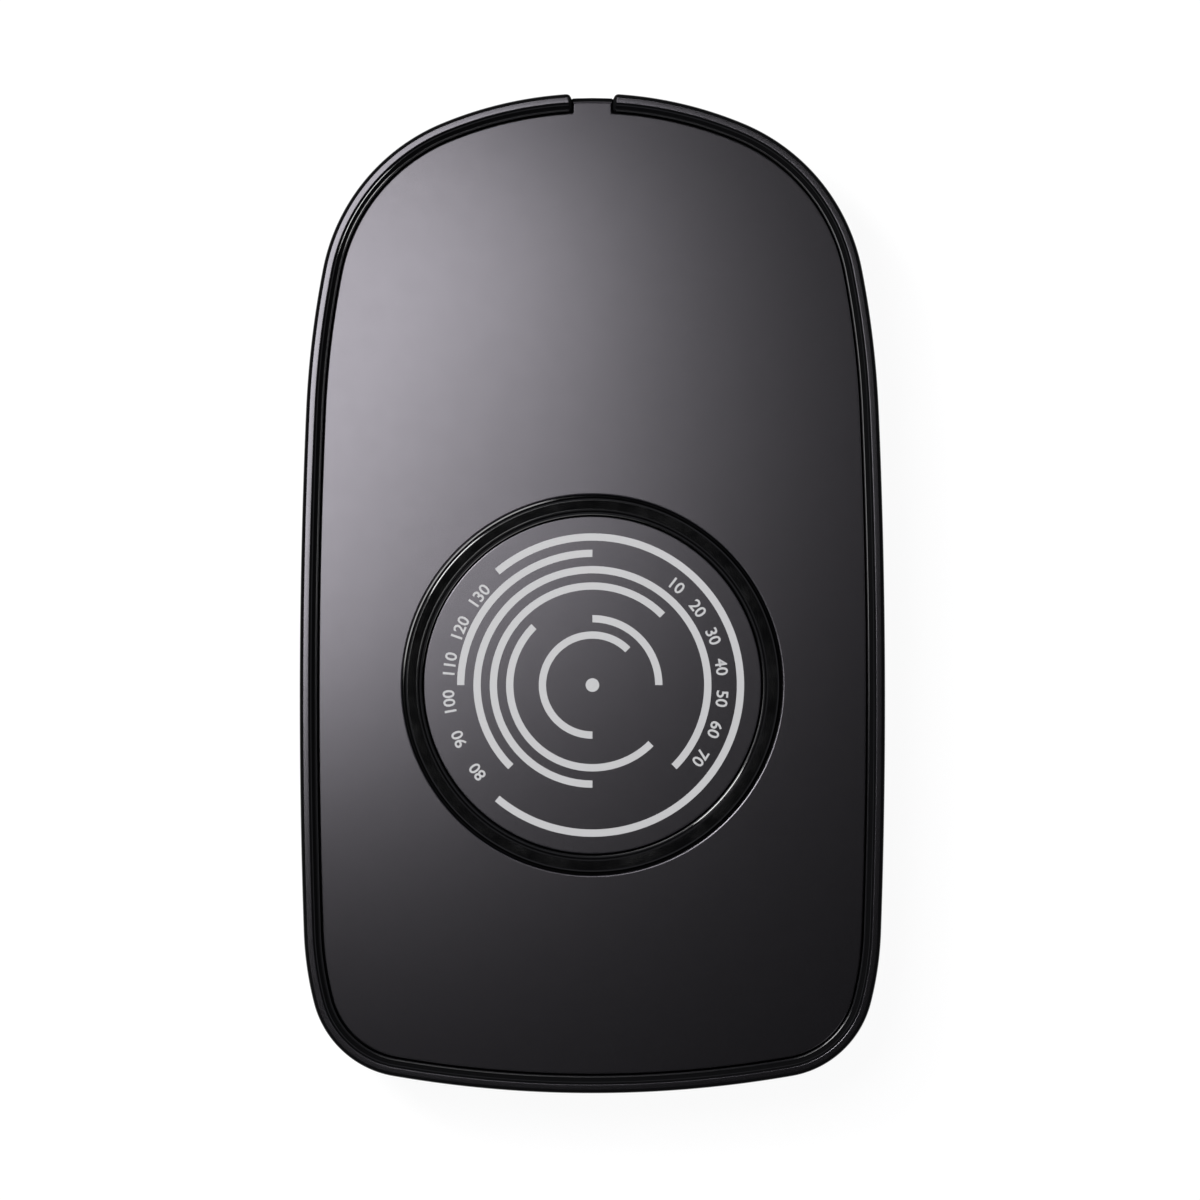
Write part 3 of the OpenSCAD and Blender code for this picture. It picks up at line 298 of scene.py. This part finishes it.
def ribbed_knob():
    """A block carried along y, in mm. Its section is a rectangle whose corners are rounded
    as a superellipse, and it shrinks at both ends as one. Its outer face is cut in by a
    cosine along y, which leaves ribs. A square stem joins it to the switch."""
    lowest, highest = (np.array(corner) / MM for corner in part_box("switch_knob"))
    middle, half = (lowest + highest) / 2, (highest - lowest) / 2
    depth, square, end_share, rings_along, around = 1.1, 5.0, 0.6, 61, 48
    ribs, rib_pitch, groove_depth = 3, 0.62, 0.14
    stem_half, stem_overlap = 0.6, 0.2
    along = np.sin(np.linspace(-np.pi / 2, np.pi / 2, rings_along))
    size = (1 - np.abs(along) ** (2 * square)) ** (1 / square)
    turn = np.linspace(0, 2 * np.pi, around, endpoint=False)
    corner = (np.abs(np.cos(turn)) ** square + np.abs(np.sin(turn)) ** square) ** (-1 / square)
    across, up = corner * np.cos(turn), corner * np.sin(turn)
    rib = groove_depth * (0.5 - 0.5 * np.cos(2 * np.pi * along * half[1] / rib_pitch))
    rib = rib * (np.abs(along) * half[1] < ribs / 2 * rib_pitch)
    size = np.maximum(size, end_share)[:, None]
    x = lowest[0] + depth / 2 + depth / 2 * size * across
    x = x + rib[:, None] * np.clip(-across, 0, 1) ** 2
    y = np.broadcast_to(middle[1] + half[1] * along[:, None], x.shape)
    knob = outward(skin(np.stack([x, y, middle[2] + half[2] * size * up], -1), False, "knob"))
    stem_x = np.array([lowest[0] + depth - stem_overlap, highest[0]])
    stem_y, stem_z = stem_half * np.array([[-1, 1, 1, -1], [-1, -1, 1, 1]])
    stem = np.stack([np.column_stack([np.full(4, x), middle[1] + stem_y, middle[2] + stem_z])
                     for x in stem_x])
    return merged("slide_knob", [knob, outward(skin(stem, False, "stem"))])


knob_mesh = ribbed_knob()
sharpen(knob_mesh, degrees=40)
place_piece("slide_knob", knob_mesh, "switch_knob", moulded_black, "black_plastic",
            "switch_knob")

# --------------------------------------------------------------- Upper housing
# Injection-moulded black ABS cover: deck, outer wall and screw bosses. Its sides are
# polished, and its faces that look up are not. It shows from above only as the dark
# line round the plate's tongue.
LEVEL_FACE, FAINT_GLOSS = 0.9, 0.04
gloss_black = finish("polished_black_plastic", (0.0018, 0.0018, 0.002), 0.09, mottle=0.1,
                     uneven=0.03, grain=2.5, relief=0.0006, patches=20)
cover = joined("upper_cover", "top_housing", "housing", gloss_black, "gloss_black")
unpolished = finish("unpolished_black_plastic", (0.0028, 0.0028, 0.0031), 0.85, grain=0.2,
                    relief=0.004)
shader = unpolished.node_tree.nodes["Principled BSDF"]
shader.inputs["Specular IOR Level"].default_value = FAINT_GLOSS
cover.data.materials.append(unpolished)
facing = np.empty(3 * len(cover.data.polygons))
cover.data.polygons.foreach_get("normal", facing)
looks_up = facing.reshape(-1, 3)[:, 2] > LEVEL_FACE
cover.data.polygons.foreach_set("material_index", looks_up.astype(np.int32))

# ------------------------------------------------------------------- Top plate
# Thin aluminium plate with a satin charcoal coat, glued into the cover inside the
# rim. Its edges have a small rolled radius, and a tongue of it lies in the cable gap.
BODY_W, BODY_L, CABLE_GAP = 80.0, 136.5, 5.8
ARC_R = np.array([160, 13.5, 45, 900, 130, 27.0])
ARC_TURN = np.radians([9.8, 65.8, 12.4, 4.5, 8.6, 56.4])
DISC_AT = np.array([0.0, -12.5])
PLATE_LOW, PLATE_TOP = 12.8, 13.4
END_CORNER, PEAK_SHARE, CROWN_FROM = 0.75, 0.8, 158


def arc_chain(step_deg=1.0, step_mm=1.5):
    """Stations [x, y, heading] of the right half outline, from the foot's middle to the
    top's middle. Along an arc of radius r from heading h, a turn a moves the point by
    r (sin(h + a) - sin h) and r (cos h - cos(h + a)). The last arc closes on x = 0."""
    heads = np.concatenate([[0], np.cumsum(ARC_TURN)])
    moves = np.stack([ARC_R * (np.sin(heads[1:]) - np.sin(heads[:-1])),
                      ARC_R * (np.cos(heads[:-1]) - np.cos(heads[1:]))], 1)
    starts = np.concatenate([[[0, 0]], np.cumsum(moves, 0)])
    radii = np.append(ARC_R, starts[-1, 0] / math.sin(heads[-1]))
    turns = np.append(ARC_TURN, math.pi - heads[-1])
    chain = []
    for r, turn, h, (x, y) in zip(radii, turns, heads, starts):
        steps = int(max(np.ceil(np.degrees(turn) / step_deg), np.ceil(r * turn / step_mm)))
        a = h + turn * np.arange(steps) / steps
        chain.append(np.stack([x + r * (np.sin(a) - math.sin(h)),
                               y + r * (math.cos(h) - np.cos(a)), a], 1))
    top = radii[-1] * (1 - math.cos(math.pi - heads[-1]))
    chain.append([[0.0, starts[-1, 1] + top, math.pi]])
    return np.concatenate(chain)


# The arcs are scaled to BODY_W across, and to BODY_L at the rim's ends, whose rounded
# corners reach highest a little beside the gap.
stations = arc_chain()
wide = BODY_W / 2 / stations[:, 0].max()
end_x = (CABLE_GAP / 2 + PEAK_SHARE * END_CORNER) / wide
crown = stations[:, 2] > math.radians(CROWN_FROM)
tall = BODY_L / np.interp(-end_x, -stations[crown, 0], stations[crown, 1])


def inset(station, d):
    """Points of the outline at stations, moved inwards by d along the outline's normal,
    which is the scaled tangent turned a quarter round."""
    tangent = np.stack([np.cos(station[:, 2]) * wide, np.sin(station[:, 2]) * tall], 1)
    tangent /= np.linalg.norm(tangent, axis=1)[:, None]
    normal = np.stack([tangent[:, 1], -tangent[:, 0]], 1)
    point = np.stack([station[:, 0] * wide, station[:, 1] * tall - BODY_L / 2], 1)
    return point - np.asarray(d)[..., None] * normal


def round_over(run, rise, steps=5):
    """Offsets [inwards, below the top] of a quarter-ellipse edge, from its foot to its top."""
    a = np.radians(np.linspace(0, 90, steps))
    return np.stack([run * (1 - np.cos(a)), rise * (1 - np.sin(a))], 1)


# Points of the outline past UPPER, in mm, belong to its top, where the tongue is.
EDGE_INSET, TONGUE_INSET, TONGUE_HALF, ROOT_GAP = 2.5, 1.06, 2.7, 0.4
UPPER, SIDE_STEPS, TIP_STEPS = 40, 4, 6
last_body = int(np.argmax((inset(stations, EDGE_INSET)[:, 0] < TONGUE_HALF + ROOT_GAP)
                          & (stations[:, 1] > UPPER)))


def plate_loop(edge):
    """The plate's outer edge, offset inwards by edge: the outline inside the rim, and at
    the top the tongue that reaches out to the middle of the cable gap. The tongue's sides
    are straight, and its tip follows the outline."""
    body = inset(stations, EDGE_INSET + edge)
    reach = inset(stations, TONGUE_INSET + edge)
    half = TONGUE_HALF - edge
    rise = body[:, 1] > UPPER
    root_y = np.interp(-half, -body[rise, 0], body[rise, 1])
    tip_y = np.interp(-half, -reach[rise, 0], reach[rise, 1])
    tip_x = half * np.cos(np.linspace(0, np.pi / 2, TIP_STEPS + 1))
    tip = np.stack([tip_x, np.interp(-tip_x, -reach[rise, 0], reach[rise, 1])], 1)
    side_y = np.linspace(root_y, tip_y, SIDE_STEPS + 1)[:-1]
    side = np.stack([np.full(SIDE_STEPS, half), side_y], 1)
    right = np.concatenate([body[:last_body], side, tip])
    return np.concatenate([right, (right * [-1, 1])[-2:0:-1]])


def at_height(points, z):
    """Flat points [x, y] lifted to the height z."""
    return np.column_stack([points, np.full(len(points), z)])


HOLE_R, ROLL_RUN, ROLL_RISE, FLAT_FROM, HOLE_SHARE = 26.0, 0.25, 0.2, 0.28, 0.88
loops = [(0, PLATE_LOW)] + [(d, PLATE_TOP - z) for d, z in round_over(ROLL_RUN, ROLL_RISE)]
loops += [(FLAT_FROM, PLATE_TOP)]
outer = np.stack([at_height(plate_loop(d), z) for d, z in loops])
spread = plate_loop(0) - DISC_AT
turn = np.arctan2(spread[:, 1], spread[:, 0])
spoke = np.stack([np.cos(turn), np.sin(turn)], 1)
hole = np.stack([at_height(DISC_AT + (HOLE_R + d) * spoke, z) for d, z in loops])
# One more loop near the hole splits the long faces of the top.
near_hole = (1 - HOLE_SHARE) * outer[-1] + HOLE_SHARE * hole[-1]
rings = np.concatenate([outer, [near_hole], hole[::-1]])
plate_mesh = outward(skin(rings, True, "satin_plate"))
sharpen(plate_mesh, degrees=50)
sprayed = dict(mottle=0.045, uneven=0.012, grain=0.16, relief=0.0003, patches=2.5)
satin = finish("satin_charcoal_coat", (0.0755, 0.0719, 0.0796), 0.2404, 1.0, **sprayed)
place_piece("satin_plate", plate_mesh, "housing", satin, "satin_charcoal", "top_plate")

# ------------------------------------------------------------------ Guard rim
# Black moulded bead round the plate that keeps the mouse in place, open at the top
# for its cable. Its flat crest has a smoother copy of the plate's satin coat, made a
# little lighter in colour as painted sheen; a fine groove and a thin second bead run
# inside it, and its outer shoulder is left unpolished.
RIM_TOP, SHOULDER_FROM, SHOULDER_RUN, SHOULDER_RISE = 15.0, 14.3, 0.52, 0.64
GLOSS, UNPOLISHED, SATIN = 0, 1, 2


def bow(r0, z0, radius, start, end, steps, hollow=False):
    """Points along a round edge from one tilt to another, in degrees off level and falling
    away from the first point, beginning at [r0, z0]. A hollow one is a fillet."""
    tilt = np.radians(np.linspace(start, end, steps))
    side = -1 if hollow else 1
    return np.stack([r0 + side * radius * (np.sin(tilt) - math.sin(tilt[0])),
                     z0 + side * radius * (np.cos(tilt) - math.cos(tilt[0]))], 1)


# A point of the section is [inwards from the outline, height] in mm, and each of its
# runs takes one of the rim's three finishes.
turn = np.radians(np.linspace(8, 80, 6))
side = np.concatenate([[[0.3, 12.0], [0.03, 12.3], [0.0, 12.4]],
                       np.stack([SHOULDER_RUN * (1 - np.cos(turn)),
                                 SHOULDER_FROM + SHOULDER_RISE * np.sin(turn)], 1)])
crest = np.concatenate([bow(0.54, 14.99, 18.0, -0.3, 1.6, 5), [[1.165, 14.982]],
                        bow(1.18, 14.979, 0.08, 16, 70, 5)])
groove = np.array([[1.27, 14.83], [1.4, 14.8]])
bead = bow(1.43, 14.78, 0.3, -46, -10, 6)
slope = np.concatenate([bow(1.61, 14.87, 0.08, 12, 60, 4), [[1.98, 14.42], [2.05, 14.4]]])
lip = np.concatenate([bow(2.07, 14.4, 0.3, -34, -10, 5), bow(2.2, 14.445, 0.22, 6, 40, 6)])
foot = np.array([[2.34, 14.3], [2.4, 13.5], [2.42, 12.8], [1.55, 12.8], [1.55, 12.0]])
runs = [(side[:-4], GLOSS), (side[-4:], UNPOLISHED), (crest[:-1], SATIN),
        (crest[-1:], UNPOLISHED), (groove, UNPOLISHED), (bead, GLOSS), (slope, UNPOLISHED),
        (lip, GLOSS), (foot, GLOSS)]
section = np.concatenate([run for run, _ in runs])
looks = np.concatenate([np.full(len(run), look) for run, look in runs])
RIM_END_RUN, END_STATIONS, END_SPARE, FAR_OFF = 1.4, 16, 0.3, 9.0


def rim_path():
    """Stations of the right half of the rim, from the foot's middle to its end beside the
    gap, with the distance left to the end. Towards the end they close up as a sine does,
    and the distance is worked out for them alone."""
    quarter = np.radians(np.linspace(0, 90, END_STATIONS))
    wanted = CABLE_GAP / 2 + RIM_END_RUN * (1 - np.sin(quarter))
    keep = stations[(stations[:, 0] * wide > CABLE_GAP / 2 + RIM_END_RUN + END_SPARE)
                    | (stations[:, 1] < UPPER)]
    ends = np.stack([np.interp(-wanted / wide, -stations[crown, 0], column)
                     for column in stations[crown].T], 1)
    left = np.concatenate([np.full(len(keep), FAR_OFF), wanted - CABLE_GAP / 2])
    return np.concatenate([keep, ends]), left


def drawn_in(left, radius):
    """How far a corner of that radius draws in at a distance from the end: a quarter circle."""
    near = np.clip(1 - left / radius, 0, 1)
    return radius * (1 - np.sqrt(1 - near ** 2))


# At its ends the rim falls by END_FALL over END_SLOPE, down to CUT_LOW, and its corners
# draw in towards RIM_MIDDLE. The inner one goes INNER_SHARE of the way for each mm.
END_FALL, END_SLOPE, END_ROUND, ROUND_SHARE, CUT_LOW = 1.6, 0.45, 0.9, 0.12, 12.6
RIM_MIDDLE, INNER_CORNER, INNER_SHARE, END_RINGS = 1.35, 0.7, 0.55, 8
path, left = rim_path()
cut = (RIM_TOP - END_FALL * np.clip(1 - left / END_SLOPE, 0, 1)
       - ROUND_SHARE * drawn_in(left, END_ROUND))
d, z = section.T[..., None]
narrowing = np.where(d < RIM_MIDDLE, drawn_in(left, END_CORNER) / RIM_MIDDLE,
                     INNER_SHARE * drawn_in(left, INNER_CORNER))
across = inset(path, RIM_MIDDLE + (d - RIM_MIDDLE) * (1 - narrowing))
height = np.minimum(z, np.maximum(cut, CUT_LOW))
half_rim = np.concatenate([across, height[..., None]], -1).transpose(1, 0, 2)
rings = np.concatenate([(half_rim * [-1, 1, 1])[:0:-1], half_rim])
rim_mesh = outward(skin(rings, False, "bead_rim"))
sharpen(rim_mesh, degrees=24)
place_piece("bead_rim", rim_mesh, "housing", gloss_black, "gloss_black", "guard_rim")
rim_mesh.materials.append(unpolished)
# The crest's coat is the plate's satin coat made smoother, and lighter in colour as painted sheen.
rim_mesh.materials.append(finish("satin_coat_with_painted_sheen", (0.082, 0.0785, 0.0865), 0.215, 1.0,
                                 **sprayed))
# The faces lie ring by ring in the section's order. Near the ends the whole top is
# unpolished, and the two end faces, which come last, are glossy.
ring, place = np.divmod(np.arange(len(rim_mesh.polygons)), len(section))
kind = looks[place]
near_end = np.minimum(ring, len(rings) - 2 - ring) < END_RINGS
top_from, top_to = len(side) - 5, len(section) - 4
kind[near_end & (place >= top_from) & (place < top_to)] = UNPOLISHED
kind[-2:] = GLOSS
rim_mesh.polygons.foreach_set("material_index", kind.astype(np.int32))

# ------------------------------------------------------------------ Bezel ring
# Polished black ring round the disc, moulded and snapped into the cover's hole. A
# flat crest falls inwards through a narrow trough to the running gap of the disc, and
# a thin lip reaches under the disc's edge, so that no light falls on the gears.


def lathe(profile, name, around=288):
    """A ring turned from a closed profile of [radius, height] in mm about the disc's axis:
    x and y are the radius times cosine and sine of the turn."""
    turn = np.linspace(0, 2 * np.pi, around, endpoint=False)[:, None]
    profile = np.asarray(profile, float)
    rings = np.stack([DISC_AT[0] + profile[:, 0] * np.cos(turn),
                      DISC_AT[1] + profile[:, 0] * np.sin(turn),
                      np.broadcast_to(profile[:, 1], (around, len(profile)))], -1)
    return outward(skin(rings, True, name))


BEZEL_TOP = 13.9
gap_lip = [[22.7, 11.5], [22.7, 11.68], [23.26, 11.68]]
inner_wall = [[23.26, 12.95], [23.31, 13.0]]
trough = np.concatenate([bow(23.4, 13.0, 0.2, 0, -14, 4, hollow=True),
                         bow(23.455, 13.008, 0.7, -16, -28, 5, hollow=True),
                         bow(23.6, 13.066, 0.28, -34, -70, 5, hollow=True)])
tip = [[23.94, 13.82], [23.97, 13.84], [24.04, 13.824], [24.08, 13.812], [24.1, 13.8132]]
outer_edge = np.concatenate([
    [[25.26, 13.8885], [25.29, BEZEL_TOP - 0.01], [25.31, BEZEL_TOP - 0.012]],
    bow(25.33, BEZEL_TOP - 0.017, 0.65, 16, 30, 5),
    bow(25.49, BEZEL_TOP - 0.09, 0.1, 38, 78, 5)])
flange = [[25.72, 13.2], [25.78, 13.12], [25.95, 13.1], [25.95, 12.8], [24.5, 12.8],
          [24.5, 11.5]]
bezel = np.concatenate([gap_lip, inner_wall, trough, tip, outer_edge, flange])
bezel_mesh = lathe(bezel, "disc_bezel")
sharpen(bezel_mesh, degrees=40)
place_piece("disc_bezel", bezel_mesh, "housing", gloss_black, "gloss_black", "bezel_ring")
bezel_mesh.materials.append(unpolished)
on_lip = np.arange(len(bezel_mesh.polygons)) % len(bezel) < len(gap_lip) - 1
bezel_mesh.polygons.foreach_set("material_index", on_lip.astype(np.int32))

# -------------------------------------------------------------- Turntable disc
# Aluminium disc of 46 mm in the plate's satin charcoal coat, with a rolled edge. A
# ring under it is pressed on the hub of the gear.
DISC_R, DISC_LOW, DISC_TOP, AXIS_R, HALF_WAY = 23.1, 11.8, 13.2, 0.02, 12
RING_IN, RING_OUT, RING_LOW = 6.05, 7.55, 9.6
CHAMFER, EDGE_RUN, EDGE_RISE, TOP_FLAT = 0.1, 0.16, 0.15, 0.19
profile = [[AXIS_R, DISC_LOW], [RING_IN, DISC_LOW], [RING_IN, RING_LOW], [RING_OUT, RING_LOW],
           [RING_OUT, DISC_LOW], [DISC_R - CHAMFER, DISC_LOW], [DISC_R, DISC_LOW + CHAMFER]]
profile += [[DISC_R - d, DISC_TOP - z] for d, z in round_over(EDGE_RUN, EDGE_RISE)]
profile += [[DISC_R - TOP_FLAT, DISC_TOP], [HALF_WAY, DISC_TOP], [AXIS_R, DISC_TOP]]
disc_mesh = lathe(profile, "satin_disc")
sharpen(disc_mesh, degrees=50)
place_piece("satin_disc", disc_mesh, "turntable", satin, "satin_charcoal", "turntable_disc")

# ------------------------------------------------------------------ Disc print
# Light grey pad-printed ink: a dot, seven open arcs that give the sensor something
# to follow as the disc turns, and a plain scale of numbers round the disc's edge.
INK_T, DOT_R, DOT_AXIS_R = 0.05, 0.93, 0.01
FIRST_ARC_R, ARC_PITCH, ARC_W = 6.84, 2.235, 1.0
# Each arc, from the innermost out, is [where it starts, how far it runs] in degrees.
ARCS = [[45, 225], [0, 90], [135, 180], [45, 225], [-45, 270], [90, 90], [-130, 260]]


def ink_arc(radius, start, span):
    """One printed arc: a box of ink bent round the disc's centre in steps of a degree. Its
    x and y are the radius times cosine and sine of the turn."""
    turn = np.radians(start + np.linspace(0, span, span))[:, None]
    r = radius + ARC_W * np.array([-0.5, 0.5, 0.5, -0.5])
    z = DISC_TOP + INK_T * np.array([0, 0, 1, 1])
    rings = np.stack([DISC_AT[0] + r * np.cos(turn), DISC_AT[1] + r * np.sin(turn),
                      np.broadcast_to(z, (len(turn), 4))], -1)
    return outward(skin(rings, False, "arc"))


dot = lathe([[DOT_AXIS_R, DISC_TOP], [DOT_R, DISC_TOP], [DOT_R, DISC_TOP + INK_T],
             [DOT_AXIS_R, DISC_TOP + INK_T]], "dot", around=48)
arcs = [ink_arc(FIRST_ARC_R + ARC_PITCH * i, start, span)
        for i, (start, span) in enumerate(ARCS)]
print_mesh = merged("sensor_print", [dot] + arcs)
sharpen(print_mesh, degrees=30)
ink = finish("light_grey_ink", (0.485, 0.485, 0.485), 0.5, mottle=0.03, uneven=0.08, grain=0.15,
             relief=0.003, patches=4)
place_piece("sensor_print", print_mesh, "turntable", ink, "ink_grey", "disc_print")

NUMBER_H, DIGIT_SHARE, BOLDER = 1.65, 0.729, 0.035


def number_mesh(text):
    """The outline of a plain number, standing on the line y = 0 and centred on x = 0. Its
    digits take DIGIT_SHARE of the font's size, and their strokes are widened by BOLDER."""
    curve = bpy.data.curves.new("number", "FONT")
    curve.body = text
    curve.align_x = "CENTER"
    curve.size = NUMBER_H / DIGIT_SHARE
    curve.extrude = INK_T / 2
    curve.offset = BOLDER
    curve.resolution_u = 3
    holder = bpy.data.objects.new("number", curve)
    bpy.context.scene.collection.objects.link(holder)
    bpy.context.view_layer.update()
    mesh = bpy.data.meshes.new_from_object(holder)
    bpy.data.objects.remove(holder)
    return mesh


def bent_round(mesh, radius, at_deg):
    """Bends flat lettering round the disc: x becomes an angle of -x / radius, so it reads
    clockwise with its tops outwards, and y is added to the radius."""
    co = np.empty(3 * len(mesh.vertices))
    mesh.vertices.foreach_get("co", co)
    x, y, z = co.reshape(-1, 3).T
    turn = math.radians(at_deg) - x / radius
    r = radius + y
    mesh.vertices.foreach_set("co", (np.stack([
        DISC_AT[0] + r * np.cos(turn), DISC_AT[1] + r * np.sin(turn),
        DISC_TOP + INK_T / 2 + z], 1) * MM).ravel())
    return mesh


# Each side of the scale is [first number, how many, radius, first angle, step in degrees].
NUMBER_STEP = 10
SCALE = [[10, 7, 17.05, 50, 14.0], [80, 6, 18.95, 217, 15.0]]
numbers = merged("scale_numbers", [
    bent_round(number_mesh(str(first + NUMBER_STEP * i)), radius, start - step * i)
    for first, count, radius, start, step in SCALE for i in range(count)])
place_piece("scale_numbers", numbers, "turntable", ink, "ink_grey")

# ---------------------------------------------------------------------- Studio
# Plain white floor, two softboxes high on the upper left whose blurred images the satin
# plate shows, a larger one lower on the left, and a pale surround that is dark overhead.


def toward(azimuth, off_vertical):
    """Unit direction at an azimuth from +X and an angle off the vertical, in degrees."""
    a, t = math.radians(azimuth), math.radians(off_vertical)
    return np.array([math.cos(a) * math.sin(t), math.sin(a) * math.sin(t), math.cos(t)])


def softbox(name, strength, azimuth, off_vertical, distance, tilt, half_sides):
    """A flat soft light, unseen by the camera. Its centre stands at a distance in metres
    from the origin, one half side points off the vertical by tilt at the same azimuth, and
    the other is level, square to it."""
    centre = toward(azimuth, off_vertical) * distance
    across = toward(azimuth, tilt) * half_sides[0]
    along = np.cross([0, 0, 1], toward(azimuth, 90)) * half_sides[1]
    corners = [centre + i * across + j * along for i, j in ((-1, -1), (1, -1), (1, 1), (-1, 1))]
    mesh = bpy.data.meshes.new(name)
    mesh.from_pydata([c.tolist() for c in corners], [], [(0, 1, 2, 3)])
    panel = bpy.data.materials.new(name)
    panel.use_nodes = True
    nodes, links = panel.node_tree.nodes, panel.node_tree.links
    nodes.remove(nodes["Principled BSDF"])
    lamp = nodes.new("ShaderNodeEmission")
    lamp.inputs["Strength"].default_value = strength
    links.new(lamp.outputs["Emission"], nodes["Material Output"].inputs["Surface"])
    mesh.materials.append(panel)
    box = bpy.data.objects.new(name, mesh)
    box.visible_camera = False
    box.visible_shadow = False
    bpy.context.scene.collection.objects.link(box)


softbox("high_softbox", strength=8.2, azimuth=147.6, off_vertical=12.5, distance=0.291,
        tilt=154.6, half_sides=(0.069, 0.055))
softbox("small_softbox", strength=3.1, azimuth=137.9, off_vertical=5.2, distance=0.281,
        tilt=95.2, half_sides=(0.0212, 0.0212))
softbox("low_softbox", strength=25.0, azimuth=141, off_vertical=44, distance=0.6,
        tilt=134, half_sides=(0.1, 0.085))

FLOOR_HALF, UNDER_FEET = 6, -0.05 * MM
floor_mesh = bpy.data.meshes.new("floor")
floor_mesh.from_pydata([(x * FLOOR_HALF, y * FLOOR_HALF, UNDER_FEET)
                        for x, y in ((-1, -1), (1, -1), (1, 1), (-1, 1))], [], [(0, 1, 2, 3)])
floor = bpy.data.objects.new("floor", floor_mesh)
bpy.context.scene.collection.objects.link(floor)
# The paper glows evenly to the camera and in reflections, with a thin diffuse share that
# takes the object's shadow. To other light it is plain matte white.
PAPER_WHITE, GLOW_LEVEL, SHADOW_SHARE = 0.8, 0.93, 0.12
paper = bpy.data.materials.new("white_paper")
paper.use_nodes = True
nodes, links = paper.node_tree.nodes, paper.node_tree.links
shader = nodes["Principled BSDF"]
shader.inputs["Roughness"].default_value = 0.9
shader.inputs["Specular IOR Level"].default_value = 0.0
shader.inputs["Base Color"].default_value = (PAPER_WHITE, PAPER_WHITE, PAPER_WHITE, 1)
seen = nodes.new("ShaderNodeLightPath")
either, any_of = nodes.new("ShaderNodeMath"), nodes.new("ShaderNodeMath")
either.operation = any_of.operation = "MAXIMUM"
links.new(seen.outputs["Is Camera Ray"], either.inputs[0])
links.new(seen.outputs["Is Glossy Ray"], either.inputs[1])
links.new(either.outputs[0], any_of.inputs[0])
links.new(seen.outputs["Is Transmission Ray"], any_of.inputs[1])
white = nodes.new("ShaderNodeEmission")
white.inputs["Strength"].default_value = GLOW_LEVEL
thin = nodes.new("ShaderNodeBsdfDiffuse")
thin.inputs["Color"].default_value = (SHADOW_SHARE, SHADOW_SHARE, SHADOW_SHARE, 1)
bright = nodes.new("ShaderNodeAddShader")
links.new(white.outputs[0], bright.inputs[0])
links.new(thin.outputs[0], bright.inputs[1])
choose = nodes.new("ShaderNodeMixShader")
links.new(any_of.outputs[0], choose.inputs["Fac"])
links.new(shader.outputs["BSDF"], choose.inputs[1])
links.new(bright.outputs[0], choose.inputs[2])
links.new(choose.outputs[0], nodes["Material Output"].inputs["Surface"])
floor_mesh.materials.append(paper)

# Stops of the surround are (height of the direction, level), from level to overhead.
LEVEL_LIGHT, OVERHEAD_LIGHT, BLUE = 0.45, 0.008, 1.12
STOPS = ((0.7, 0.32), (0.9, 0.22), (0.955, 0.02))
world = bpy.data.worlds.new("surround")
bpy.context.scene.world = world
world.use_nodes = True
nodes, links = world.node_tree.nodes, world.node_tree.links
place = nodes.new("ShaderNodeTexCoord")
split = nodes.new("ShaderNodeSeparateXYZ")
links.new(place.outputs["Generated"], split.inputs["Vector"])
ramp = nodes.new("ShaderNodeValToRGB")
ramp.color_ramp.elements[0].color = (LEVEL_LIGHT, LEVEL_LIGHT, LEVEL_LIGHT, 1)
ramp.color_ramp.elements[1].color = (OVERHEAD_LIGHT, OVERHEAD_LIGHT, OVERHEAD_LIGHT, 1)
for position, level in STOPS:
    ramp.color_ramp.elements.new(position).color = (level, level, level * BLUE, 1)
links.new(split.outputs["Z"], ramp.inputs["Fac"])
links.new(ramp.outputs["Color"], nodes["Background"].inputs["Color"])

camera = bpy.data.objects.new("camera", bpy.data.cameras.new("camera"))
camera.data.lens = 200
camera.data.sensor_width = 36
camera.data.clip_start = 0.05
camera.data.clip_end = 20
camera.location = (0.001034, -0.000866, 0.925)
bpy.context.scene.collection.objects.link(camera)
bpy.context.scene.camera = camera
bpy.context.scene.view_settings.view_transform = "Standard"
